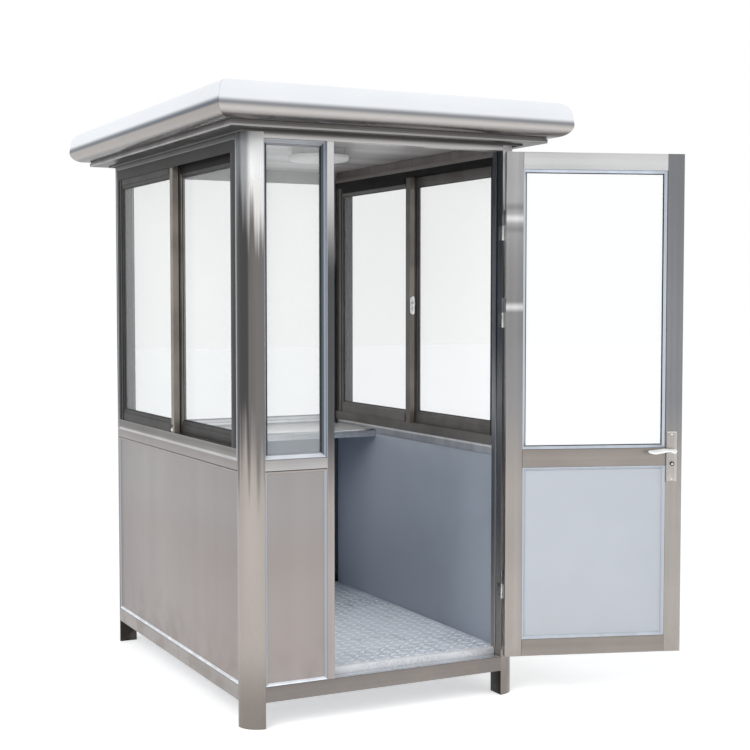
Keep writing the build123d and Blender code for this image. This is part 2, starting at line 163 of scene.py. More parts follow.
class Tree:
    """A node tree under construction."""

    def __init__(self, tree: bpy.types.NodeTree) -> None:
        """Keep the tree."""
        self.tree = tree

    def node(self, kind: str, settings: dict[str, Any] | None = None, **inputs: Any) -> bpy.types.Node:
        """Add a node.

        Args:
            kind: The node's type.
            settings: Its properties, set before its sockets.
            **inputs: Values or links by socket name, with spaces as underscores.

        Returns:
            The node.
        """
        made = self.tree.nodes.new(kind)
        for key, value in (settings or {}).items():
            setattr(made, key, value)
        for key, value in inputs.items():
            feed(self.tree, made.inputs[key.replace("_", " ")], value)
        return made


class Surface(Tree):
    """One material under construction.

    Args:
        name: The material's name.
        turn: Turn of the piece's wall about Z, in radians.
    """

    def __init__(self, name: str, turn: float = 0.0) -> None:
        """Start an empty node tree with an output."""
        self.material = bpy.data.materials.new(name)
        self.material.use_nodes = True
        super().__init__(self.material.node_tree)
        self.tree.nodes.clear()
        self.output = self.tree.nodes.new("ShaderNodeOutputMaterial")
        self.turn = turn

    def place(self, stretch: Point3 = (1.0, 1.0, 1.0)) -> Output:
        """Object coordinates turned to the piece's wall and stretched."""
        where = self.node("ShaderNodeTexCoord").outputs["Object"]
        turned = self.node("ShaderNodeMapping", Vector=where, Rotation=(0.0, 0.0, -self.turn))
        return self.node("ShaderNodeMapping", Vector=turned.outputs[0], Scale=stretch).outputs[0]

    def axis(self, letter: str) -> Socket:
        """One Object coordinate of the surface, in metres, in the piece's wall."""
        parts = self.node("ShaderNodeSeparateXYZ", Vector=self.place())
        return Socket(self.tree, parts.outputs[letter])

    def noise(self, scale: float, stretch: Point3 = (1.0, 1.0, 1.0), detail: float = 2.0) -> Socket:
        """Cloudy noise from about 0.3 to 0.7, with scale in cycles a metre."""
        where = self.place(stretch)
        made = self.node("ShaderNodeTexNoise", Vector=where, Scale=scale, Detail=detail, Roughness=0.55)
        return Socket(self.tree, made.outputs[0])

    def blend(self, share: Any, first: Any, second: Any, kind: str = "MIX") -> Output:
        """Mix two colours by a share from 0 to 1."""
        made = self.node("ShaderNodeMix", {"data_type": "RGBA", "blend_type": kind}, Factor=share)
        feed(self.tree, made.inputs[6], first)
        feed(self.tree, made.inputs[7], second)
        return made.outputs[2]

    def painted_fade(self, colour: Colour, fades: Sequence["Fade"]) -> Any:
        """A colour that passes through some fades of painted light and shade, one after the other."""
        for fade in fades:
            share = self.axis("Z").ramp(fade.start, fade.end) * fade.share
            if fade.back is not None:
                share = share * self.axis("Z").ramp(fade.back, fade.end)
            colour = self.blend(share, colour, fade.colour)
        return colour

    def relief(self, height: Socket, strength: float, depth: float) -> Output:
        """Turn a height from 0 to 1 into a bumped normal, depth in metres."""
        return self.node("ShaderNodeBump", Height=height, Strength=strength, Distance=depth).outputs[0]

    def close(self, shader: bpy.types.Node) -> Material:
        """End the tree in a shader and return the material."""
        self.tree.links.new(shader.outputs[0], self.output.inputs["Surface"])
        return self.material

    def finish(self, **sockets: Any) -> Material:
        """End the tree in one Principled shader, with its values or links by socket name."""
        return self.close(self.node("ShaderNodeBsdfPrincipled", **sockets))


# ---- finishes ----


class Grain(Enum):
    """Which way a brushed finish runs on a piece, in the piece's own wall."""

    UPRIGHT = (1.0, 1.0, 0.012)
    ACROSS = (0.012, 1.0, 1.0)


@dataclass(frozen=True)
class Fade:
    """A painted change of light or shade between two heights, in metres; with back set, it fades out again by
    there.
    """

    start: float
    end: float
    colour: Colour
    share: float = 1.0
    back: float | None = None


@dataclass(frozen=True)
class Finish:
    """What every finish has: a name, and one shared material for each way of its grain."""

    name: str
    grained: ClassVar[bool] = False

    @cache
    def material(self, grain: Grain = Grain.UPRIGHT, turn: float = 0.0) -> Material:
        """Build the finish, made once and shared after that.

        Args:
            grain: Which way its lines run, for a finish that has any.
            turn: Turn of the wall about Z, in radians.

        Returns:
            The material.
        """
        suffix = f"_{grain.name.lower()}_{round(turn * 180 / pi)}" if self.grained else ""
        return self.build(Surface(self.name + suffix, turn), grain)

    def build(self, made: Surface, grain: Grain) -> Material:
        """Fill one material's tree; each finish has its own way."""
        raise NotImplementedError


@dataclass(frozen=True)
class Brushed(Finish):
    """Stainless sheet with a hairline grain, soft bands along it, a little dust low down, and the painted
    light and shade of its fades.
    """

    colour: Colour
    roughness: float = 0.30
    contrast: float = 0.30
    fades: tuple[Fade, ...] = ()
    bands: float = 16.0
    metallic: float = 1.0
    dusty: float = 0.32
    dust: Colour = rgb(0x968C80)
    lines: float = 900.0
    streak: float = 1.7
    grained: ClassVar[bool] = True

    def build(self, made: Surface, grain: Grain) -> Material:
        """Fill one material's tree."""
        hair = made.noise(self.lines, grain.value, 3.0)
        band = made.noise(self.bands, grain.value, 2.0)
        cloud = made.noise(2.2, detail=3.0)
        wipe = made.noise(9.0, detail=4.0)
        tone = (band * self.streak + cloud * 0.9 + hair * 0.5 - (self.streak + 1.4) / 2 + 0.5).ramp(0.0, 1.0)
        grey = tone * self.contrast + (1.0 - self.contrast / 2)
        # Painted light and shade: the fades lighten and darken the steel by height.
        steel = made.blend(1.0, made.painted_fade(self.colour, self.fades), grey, "MULTIPLY")
        dusty = made.axis("Z").ramp(0.42, 0.02) * wipe.ramp(0.42, 0.66) * self.dusty
        return made.finish(
            Base_Color=made.blend(dusty, steel, self.dust),
            Metallic=self.metallic - dusty * self.metallic,
            Roughness=self.roughness - 0.10 + hair * 0.16 + wipe * 0.10 + dusty * 0.5,
            Normal=made.relief(hair, 0.16, 0.4 * MM),
        )


@dataclass(frozen=True)
class PostSteel:
    """Rolled post sheet with painted reflections: a bright highlight where it turns to the sky up high, a
    painted dark band at eye height, plain below and darker towards the ground.
    """

    name: str = "post_steel"
    plain: Colour = rgb(0xA29A94)
    # Colours of the painted reflections: the dark band, its middle tone, the bright highlight, the side and
    # the edge.
    dull: Colour = rgb(0x4C4B4C)
    middle: Colour = rgb(0x767270)
    bright: Colour = rgb(0xE8E7E6)
    side: Colour = rgb(0x969799)
    edge: Colour = rgb(0x68696C)
    foot: Colour = rgb(0x68625D)
    roughness: float = 0.28

    def material(self, corner: str, place: Vector, x_sign: int, y_sign: int) -> Material:
        """Build the finish for one post.

        Args:
            corner: The post's name.
            place: Centre of its round, in metres.
            x_sign: Which way its side faces in X.
            y_sign: Which way its front faces in Y.

        Returns:
            The material.
        """
        made = Surface(f"{self.name}_{corner}")
        across = (made.axis("X") - place.x) * x_sign - (made.axis("Y") - place.y) * y_sign
        height = made.axis("Z")
        hair = made.noise(900.0, Grain.UPRIGHT.value, 3.0)
        band = made.noise(34.0, Grain.UPRIGHT.value, 2.0)
        cloud = made.noise(2.2, detail=3.0)
        # Painted reflections: a dark band from eye height up, then up high a bright highlight on the front of
        # the round, the side tone and a darker edge beyond it.
        wander = height + (band - 0.5) * 0.9 + (cloud - 0.5) * 0.3
        front = across.ramp(0.012, -0.022)
        dull = made.blend((front * 0.8 + (band - 0.5) * 2.2).ramp(0.1, 0.9), self.dull, self.middle)
        upper = made.blend(across.ramp(0.030, 0.052), made.blend(front, self.side, self.bright), self.edge)
        steel = made.blend(wander.ramp(1.84, 2.05), dull, upper)
        steel = made.blend(wander.ramp(1.20, 0.88), steel, self.plain)
        return made.finish(
            Base_Color=made.blend(height.ramp(0.34, 0.05) * 0.6, steel, self.foot),
            Metallic=1.0 - height.ramp(1.98, 2.16) * 0.85,
            Roughness=self.roughness - 0.08 + hair * 0.16,
            Normal=made.relief(hair, 0.16, 0.4 * MM),
        )


@dataclass(frozen=True)
class Painted(Finish):
    """Pale coated sheet with a faint mottle, scuffs that gather low down, and painted light that makes it
    paler towards the back.
    """

    colour: Colour = rgb(0x929AA5)
    shade: Colour = rgb(0x89919C)
    # Painted light: the paler colour it turns to towards the back.
    painted_fade: Colour = rgb(0xC0C8D4)
    scuff: Colour = rgb(0x96989C)
    roughness: float = 0.38
    scuffed: float = 0.2

    def build(self, made: Surface, grain: Grain) -> Material:
        """Fill one material's tree."""
        cloud = made.noise(1.6, detail=3.0)
        peel = made.noise(420.0, detail=2.0)
        scrape = made.noise(34.0, (0.25, 0.25, 1.0), 5.0)
        worn = scrape.ramp(0.62, 0.74) * (made.axis("Z").ramp(0.62, 0.18) * self.scuffed)
        body = made.blend(cloud.ramp(0.35, 0.65), self.shade, self.colour)
        # Painted light: paler towards the back of the booth.
        body = made.blend(made.axis("Y").ramp(0.45, 1.55) * 0.95, body, self.painted_fade)
        return made.finish(
            Base_Color=made.blend(worn, body, self.scuff),
            Roughness=self.roughness + worn * 0.3 + cloud * 0.08,
            Coat_Weight=0.15,
            Coat_Roughness=0.2,
            Normal=made.relief(peel, 0.06, 0.3 * MM),
        )


@dataclass(frozen=True)
class TreadMetal(Finish):
    """Worn aluminium tread sheet with dirt trodden into it."""

    colour: Colour = rgb(0xD6DBE3)
    dirt: Colour = rgb(0x7C838E)
    roughness: float = 0.4
    dirty: float = 0.8

    def build(self, made: Surface, grain: Grain) -> Material:
        """Fill one material's tree."""
        patch = made.noise(3.1, detail=5.0)
        speck = made.noise(95.0, detail=4.0)
        drag = made.noise(26.0, (1.0, 0.3, 1.0), 4.0)
        soiled = patch.ramp(0.42, 0.62) * 0.7 + drag.ramp(0.52, 0.7) * 0.5
        soiled = soiled * speck.ramp(0.34, 0.62) * self.dirty
        return made.finish(
            Base_Color=made.blend(soiled, self.colour, self.dirt),
            Metallic=0.3 - soiled * 0.3,
            Roughness=self.roughness + soiled * 0.3 + speck * 0.12,
            Normal=made.relief(speck, 0.2, 0.3 * MM),
        )


@dataclass(frozen=True)
class Bronze(Finish):
    """Bronze-anodised extrusion with faint die lines and a little dust."""

    colour: Colour = rgb(0x8A837B)
    shade: Colour = rgb(0x746E67)
    roughness: float = 0.34
    metallic: float = 0.6
    specular: float = 0.5
    dusting: float = 0.18
    dust: Colour = rgb(0x969088)
    grained: ClassVar[bool] = True

    def build(self, made: Surface, grain: Grain) -> Material:
        """Fill one material's tree."""
        die = made.noise(500.0, grain.value, 2.0)
        cloud = made.noise(5.0, detail=3.0)
        dusted = made.noise(60.0, detail=4.0).ramp(0.5, 0.7) * self.dusting
        body = made.blend(cloud.ramp(0.35, 0.65), self.shade, self.colour)
        return made.finish(
            Base_Color=made.blend(dusted, body, self.dust),
            Metallic=self.metallic - dusted * self.metallic,
            Roughness=self.roughness + die * 0.1 + dusted,
            Specular_IOR_Level=self.specular,
            Normal=made.relief(die, 0.1, 0.3 * MM),
        )


@dataclass(frozen=True)
class OfSlot(Finish):
    """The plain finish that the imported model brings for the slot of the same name."""

    def material(self, grain: Grain = Grain.UPRIGHT, turn: float = 0.0) -> Material:
        """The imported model's material; it has no grain to turn."""
        return bpy.data.materials[self.name]


@dataclass(frozen=True)
class Plain(Finish):
    """A cast, moulded or plated surface with a fine texture and slight handling wear."""

    colour: Colour
    shade: Colour
    roughness: float
    metallic: float = 0.0
    grain: float = 300.0
    cloud: float = 12.0

    def build(self, made: Surface, grain: Grain) -> Material:
        """Fill one material's tree."""
        cloud = made.noise(self.cloud, detail=4.0)
        fine = made.noise(self.grain, detail=2.0)
        return made.finish(
            Base_Color=made.blend(cloud.ramp(0.36, 0.64), self.shade, self.colour),
            Metallic=self.metallic,
            Roughness=self.roughness - 0.05 + cloud * 0.1 + fine * 0.05,
            Normal=made.relief(fine, 0.08, 0.3 * MM),
        )


# On the panel beads' lower bars this bright steel is a painted highlight.
BRIGHT_STEEL = Brushed("bright_steel", rgb(0xDEE2E8), 0.22, 0.16)
# Front and rear rail faces: painted reflections lighten the mid and top rails, and painted shade darkens the
# top rail's upper part under the cornice.
FACE_STEEL = Brushed("face_steel", rgb(0x827C79), 0.32, fades=(
    Fade(0.5, 0.9, rgb(0xA6A4A3)),
    Fade(1.6, 2.1, rgb(0xB4B1AF)),
    Fade(2.224, 2.246, rgb(0x625F5D)),
))
# Side rail faces: a lighter copy of the front faces as painted light, a painted highlight at the mid rail's
# top edge, painted shade on the top rail under the eaves and a painted highlight line near its lower edge.
SIDE_STEEL = Brushed("side_steel", rgb(0x9A9491), 0.32, fades=(
    Fade(0.5, 0.9, rgb(0x948F8C)),
    Fade(1.013, 1.018, rgb(0xDEDEDF), 0.8),
    Fade(1.6, 2.1, rgb(0x424141)),
    Fade(2.217, 2.2215, rgb(0x5C5B5B), back=2.226),
))
# Painted shade on the front posts' jamb faces: dark, lighter lower down as painted reflection, near black at
# the foot under the booth.
JAMB_STEEL = Brushed("jamb_steel", rgb(0x4C5158), 0.36, fades=(
    Fade(1.5, 1.1, rgb(0x949699)),
    Fade(0.9, 0.4, rgb(0x9E9A96)),
    Fade(0.17, 0.12, rgb(0x262525)),
))
# Painted light on the rear posts' inner faces: dark, with a painted highlight up high and painted shade at
# the foot.
REAR_POST_FADES = (Fade(1.76, 1.88, rgb(0xD4D2D0)), Fade(0.3, 0.14, rgb(0x32302F)))
REAR_POST_STEEL = Brushed("rear_post_steel", rgb(0x4E5258), 0.36, fades=REAR_POST_FADES)
# Painted light on the rails' inner faces and the head linings: a white painted highlight line at the mid
# rail's top edge and painted shade up high.
LINING_FADES = (Fade(1.006, 1.013, rgb(0xFFFFFF)), Fade(1.5, 1.9, rgb(0x807A77)))
LINING_STEEL = Brushed("lining_steel", rgb(0xA4A7AC), 0.4, fades=LINING_FADES, metallic=0.3)
# Painted reflections on the mullion: dark at eye height, bright up high and lighter low down.
MULLION_FADES = (Fade(1.7, 2.08, rgb(0xD6D5D5)), Fade(1.15, 0.8, rgb(0xA69E9A)))
MULLION_STEEL = Brushed("mullion_steel", rgb(0x58585A), 0.3, fades=MULLION_FADES)
POST_STEEL = PostSteel()

# Painted light: the panel skins turn a little lighter towards their tops.
PANEL_STEEL = Brushed("panel_steel", rgb(0x9D9592), 0.4, 0.12, (Fade(0.6, 0.86, rgb(0xA3A09F), 0.8),), 4.0)
# The panel bead frames are one bead in four tones of painted light: bright lower bars, bluish uprights as
# painted reflection, darker upper bars and a painted shade line along their top edge.
SIDE_BEAD = Brushed("side_bead", rgb(0xA0A2A7), 0.3, 0.16, metallic=0.4)
BEAD_TOP = Brushed("bead_top", rgb(0x9E9794), 0.4, 0.12)
BEAD_SHADE = Brushed("bead_shade", rgb(0x545252), 0.4)
LINING = Painted("painted_sheet")

TREAD = TreadMetal("tread_sheet")
TREAD_BARS = TreadMetal("tread_bars", rgb(0xF6F8FC), rgb(0xC4C9D1), 0.24, 0.5)
NOSING = TreadMetal("nosing_metal", rgb(0xDEE0E3), rgb(0xA0A0A2), 0.3, 0.5)
DESK = OfSlot("desk_laminate")
DESK_EDGE = Brushed("desk_edge", rgb(0xCCD0D6), 0.26)
# Strong streaks along its length: partly painted reflection, partly the sheet's grain.
CEILING = Brushed("ceiling_sheet", rgb(0xB2AEAC), 0.34, 0.5, bands=9.0, metallic=0.1)
LAMP = OfSlot("light_cover")
LAMP_BASE = Plain("light_base", rgb(0xCECECE), rgb(0xBEBEBE), 0.3)

BRONZE_OUT = Bronze("bronze_aluminium")
# Darker copies of the bronze as painted shade: the sash rails and jamb trim, the frame's head and jamb faces,
# the inside faces, and near black in the channels.
BRONZE_RAIL = Bronze("bronze_rail", rgb(0x403E3D), rgb(0x363433), 0.4, 0.0, 0.15, 0.03)
BRONZE_HEAD = Bronze("bronze_head", rgb(0x282726), rgb(0x222120), 0.4, 0.0, 0.15, 0.03)
BRONZE_IN = Bronze("bronze_inside", rgb(0x6A6764), rgb(0x5A5754), 0.36, 0.2, 0.3, 0.06)
TRACK = Bronze("bronze_track", rgb(0x1E1C1C), rgb(0x161515), 0.5, 0.0, 0.1, 0.02)
# Painted highlight: a bright fade along the lower edge of the sill face.
SILL_STEEL = Brushed("sill_steel", rgb(0x84817E), 0.4, 0.6, (Fade(1.028, 1.022, rgb(0xD2D1D0), 0.8),), 40.0)
CLIP = Plain("white_clip", rgb(0xE4E4E2), rgb(0xD4D4D2), 0.4)
GLASS = OfSlot("clear_glass")
RUBBER = Plain("black_gasket", rgb(0x1E1E1F), rgb(0x141415), 0.6, grain=900.0)
SEAL_GREY = Brushed("seal_grey", rgb(0x8A8C8F), 0.5, 0.2, metallic=0.0)
# Fixed-light bead tones of painted light: bluish uprights as painted reflection, also on the window side
# strips and the mullion's side, dark slate slopes as painted shade, a bright foot as painted highlight and a
# greyer head.
BEAD_BLUE = Brushed("bead_blue", rgb(0x9EA6B0), 0.3, 0.16, metallic=0.3)
BEAD_SLATE = Brushed("bead_slate", rgb(0x525860), 0.34, 0.2, metallic=0.2)
BEAD_FOOT = Brushed("bead_foot", rgb(0xE2E5EC), 0.3, 0.12, metallic=0.3)
BEAD_HEAD = Brushed("bead_head", rgb(0xB2B4B8), 0.34, 0.16, metallic=0.2)

# Painted light on the eaves: a bright roll on top, a painted shade line where it turns under, then the soffit
# darker lower down as painted shade; the side eaves are a more shaded copy.
EAVE_STEEL = Brushed("eave_steel", rgb(0xF0F3F7), 0.26, 0.12, (
    Fade(2.342, 2.322, rgb(0x8E9094)),
    Fade(2.321, 2.310, rgb(0xB4AFAC)),
    Fade(2.302, 2.274, rgb(0x706A67)),
), 5.0)
SIDE_EAVE_STEEL = Brushed("side_eave_steel", rgb(0xECF0F5), 0.26, 0.12, (
    Fade(2.347, 2.325, rgb(0x505865)),
    Fade(2.321, 2.311, rgb(0xA09994)),
    Fade(2.288, 2.274, rgb(0x5C5856)),
), 5.0)
# Cornice tones of painted light: a lighter lip as painted highlight, a mid flange, and a dark band and
# underside as painted shade.
LIP_STEEL = Brushed("lip_steel", rgb(0xA09E9E), 0.3, 0.4, bands=9.0)
FLANGE_STEEL = Brushed("flange_steel", rgb(0x706D6C), 0.34, 0.5, bands=9.0)
BAND_STEEL = Brushed("band_steel", rgb(0x585554), 0.36, 0.5, bands=9.0)
DECK_SHEET = OfSlot("roof_sheet")

# Painted reflections on the hinge stile: lighter low down and up high, with soft dark and white bands where
# the hinges reflect.
HINGE_STILE_STEEL = Brushed("hinge_stile_steel", rgb(0x8C8A8A), 0.28, fades=(
    Fade(1.25, 0.85, rgb(0xA09994)),
    Fade(1.70, 2.05, rgb(0xACABAB)),
    Fade(1.880, 1.903, rgb(0x787676), 0.5, 1.926),
    Fade(1.967, 1.992, rgb(0x706E6E), 0.5, 2.017),
    Fade(1.922, 1.946, rgb(0xFAFAFA), 0.6, 1.970),
    Fade(1.568, 1.592, rgb(0xFAFAFA), 0.6, 1.616),
))
# The free stile is a darker copy as painted shade, lighter low down as painted reflection; the top rail is a
# brighter copy as painted reflection.
FREE_STILE_STEEL = Brushed("free_stile_steel", rgb(0x86878A), 0.28, fades=(Fade(1.25, 0.85, rgb(0xA39D98)),))
TOP_RAIL_STEEL = Brushed("top_rail_steel", rgb(0xCACACA), 0.28)
MID_RAIL_STEEL = Brushed("mid_rail_steel", rgb(0x928B86), 0.32)
DOOR_BEAD = Brushed("door_bead", rgb(0xC6CED8), 0.3, 0.16)
PANEL_BEAD = Brushed("panel_bead", rgb(0xC0C6CE), 0.4, 0.12, metallic=0.3)
DOOR_PANEL = Painted("door_panel_sheet", rgb(0xC4C8CE), rgb(0xBEC2C8), roughness=0.34, scuffed=0.0)
# One hinge finish in two tones of painted light: grey on the door's halves, bright on the post's.
HINGE_GREY = Plain("hinge_grey", rgb(0x7E7E80), rgb(0x68686A), 0.32, 1.0, cloud=40.0)
HINGE_BRIGHT = Plain("hinge_bright", rgb(0xD6D5D4), rgb(0xBEBDBC), 0.26, 1.0, cloud=40.0)
LOCK_PLATE = Brushed("lock_plate_metal", rgb(0xB8B2AD), 0.24, 0.4, bands=60.0, dusty=0.0)
CYLINDER = Plain("black_cylinder", rgb(0x262628), rgb(0x1A1A1B), 0.3, 0.6)
CHROME = OfSlot("lock_chrome")
SATIN = Plain("satin_nickel", rgb(0xBEB8B2), rgb(0xA49E98), 0.30, 1.0, cloud=20.0)
SCREW = Plain("dark_screw", rgb(0x343230), rgb(0x1E1D1C), 0.4, 0.7, cloud=200.0)


# ---- places ----


@dataclass(frozen=True)
class Wall:
    """A flat face to build on, from the foot of its middle: along it, up, and out of it.

    Its span is where it starts and ends between the posts.
    """

    origin: Vector
    along: Vector
    outward: Vector
    span: Point2 = (0.0, 0.0)

    @property
    def turn(self) -> float:
        """Turn of the wall's length about Z, in radians."""
        return atan2(self.along.y, self.along.x)

    def point(self, along: float, up: float, out: float = 0.0) -> Vector:
        """The place of three wall numbers in the shared frame, in metres."""
        return self.origin + self.along * along + Vector((0, 0, up)) + self.outward * out

    def reach(self, place: Vector) -> float:
        """How far along the wall a place is."""
        return (place - self.origin).dot(self.along)

    def depth(self, place: Vector) -> float:
        """How far out of the wall a place is."""
        return (place - self.origin).dot(self.outward)


class Places:
    """Where things are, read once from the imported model."""

    def __init__(self) -> None:
        """Measure the booth's rails, openings and door."""
        low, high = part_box("mid_rails")
        self.sill_bottom, self.sill_top = low.z, high.z
        self.centre = Vector(((low.x + high.x) / 2, (low.y + high.y) / 2, 0.0))
        self.half_x, self.half_y = (high.x - low.x) / 2, (high.y - low.y) / 2
        self.base_bottom, self.base_top = (corner.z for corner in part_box("base_rails"))
        self.head_bottom, self.frame_top = (corner.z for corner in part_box("top_rails"))
        post = self.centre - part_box("post_front_left")[1]
        self.face_x, self.face_y = post.x, post.y
        self.inner_y = self.centre.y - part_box("front_bay_panel")[1].y
        self.mullion_left, self.mullion_right = (end.x - self.centre.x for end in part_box("door_mullion"))
        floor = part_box("floor_deck")[1]
        self.floor_top, self.inner_x = floor.z, floor.x - self.centre.x
        joints = {joint["name"]: joint for joint in frame["joints"]}
        hinge = joints["door_hinge"]
        self.pin = Vector((hinge["pos_m"][0], hinge["pos_m"][1], 0.0))
        self.door_turn = pi - radians(hinge["range_deg"][0])
        self.spindle = Vector(joints["lever_turn"]["pos_m"])

    def wall(self, side: str) -> Wall:
        """One outer face of the booth.

        Args:
            side: left, right, front or rear.

        Returns:
            The wall; its length runs along +X or +Y.
        """
        across, deep = Vector((1, 0, 0)), Vector((0, 1, 0))
        sign = 1 if side in ("right", "rear") else -1
        if side in ("left", "right"):
            foot = self.centre + across * (sign * self.half_x)
            return Wall(foot, deep, across * sign, (-self.face_y, self.face_y))
        foot = self.centre + deep * (sign * self.half_y)
        return Wall(foot, across, deep * sign, (-self.face_x, self.face_x))

    def door_wall(self, node: str, facing: int) -> Wall:
        """One side of a door solid, set out along the door from the pin axis.

        Args:
            node: The solid.
            facing: 1 for the side that is outside when the door is shut, -1 for the other.

        Returns:
            The wall.
        """
        along = Vector((cos(self.door_turn), sin(self.door_turn), 0.0))
        outward = Vector((-along.y, along.x, 0.0)) * facing
        flat = Wall(self.pin, along, outward)
        depth = max(flat.depth(corner.co) for corner in frame["nodes"][node].data.vertices)
        return Wall(self.pin + outward * depth, along, outward)


AT = Places()


# ---- outlines ----


def in_mm(*points: Point2) -> Outline:
    """Points given in millimetres."""
    return [(u * MM, v * MM) for u, v in points]


def arc(
    centre: Point2, reach: float, rise: float, start: float, steps: int, sweep: float = pi / 2
) -> Outline:
    """Points along part of an ellipse.

    Args:
        centre: Its centre.
        reach: Its half width.
        rise: Its half height.
        start: The angle it starts at.
        steps: Straight pieces in it.
        sweep: The angle it turns through.

    Returns:
        The points, with both ends.
    """
    angles = [start + step / steps * sweep for step in range(steps + 1)]
    return [(centre[0] + reach * cos(angle), centre[1] + rise * sin(angle)) for angle in angles]


def rounded(low: Point2, high: Point2, radius: float, steps: int = 3) -> Outline:
    """Outline of a rectangle with round corners.

    Args:
        low: Its first corner.
        high: Its opposite corner.
        radius: Radius of the corners.
        steps: Straight pieces in each corner.

    Returns:
        The outline, once round.
    """
    radius = max(radius, 0.01 * MM)
    left, bottom, right, top = low[0] + radius, low[1] + radius, high[0] - radius, high[1] - radius
    outline = []
    for quarter, centre in enumerate(((right, top), (left, top), (left, bottom), (right, bottom))):
        outline += arc(centre, radius, radius, quarter * pi / 2, steps)
    return outline


def lip(inset: float, width: float, crest: float, pane: float, sign: int, rises: Point3) -> Outline:
    """Outline of a rubber gasket's lip against a pane.

    Args:
        inset: Where it starts.
        width: How wide it is.
        crest: Its highest line, as a share of the width.
        pane: Place of the pane's face.
        sign: Which way it rises from the pane.
        rises: Its heights at start, crest and end, in millimetres.

    Returns:
        Points as inset and distance out of the wall.
    """
    first, top, last = (pane + sign * rise * MM for rise in rises)
    end = inset + width
    return [(inset, pane), (inset, first), (inset + crest * width, top), (end, last), (end, pane)]


# ---- shapes and pieces ----


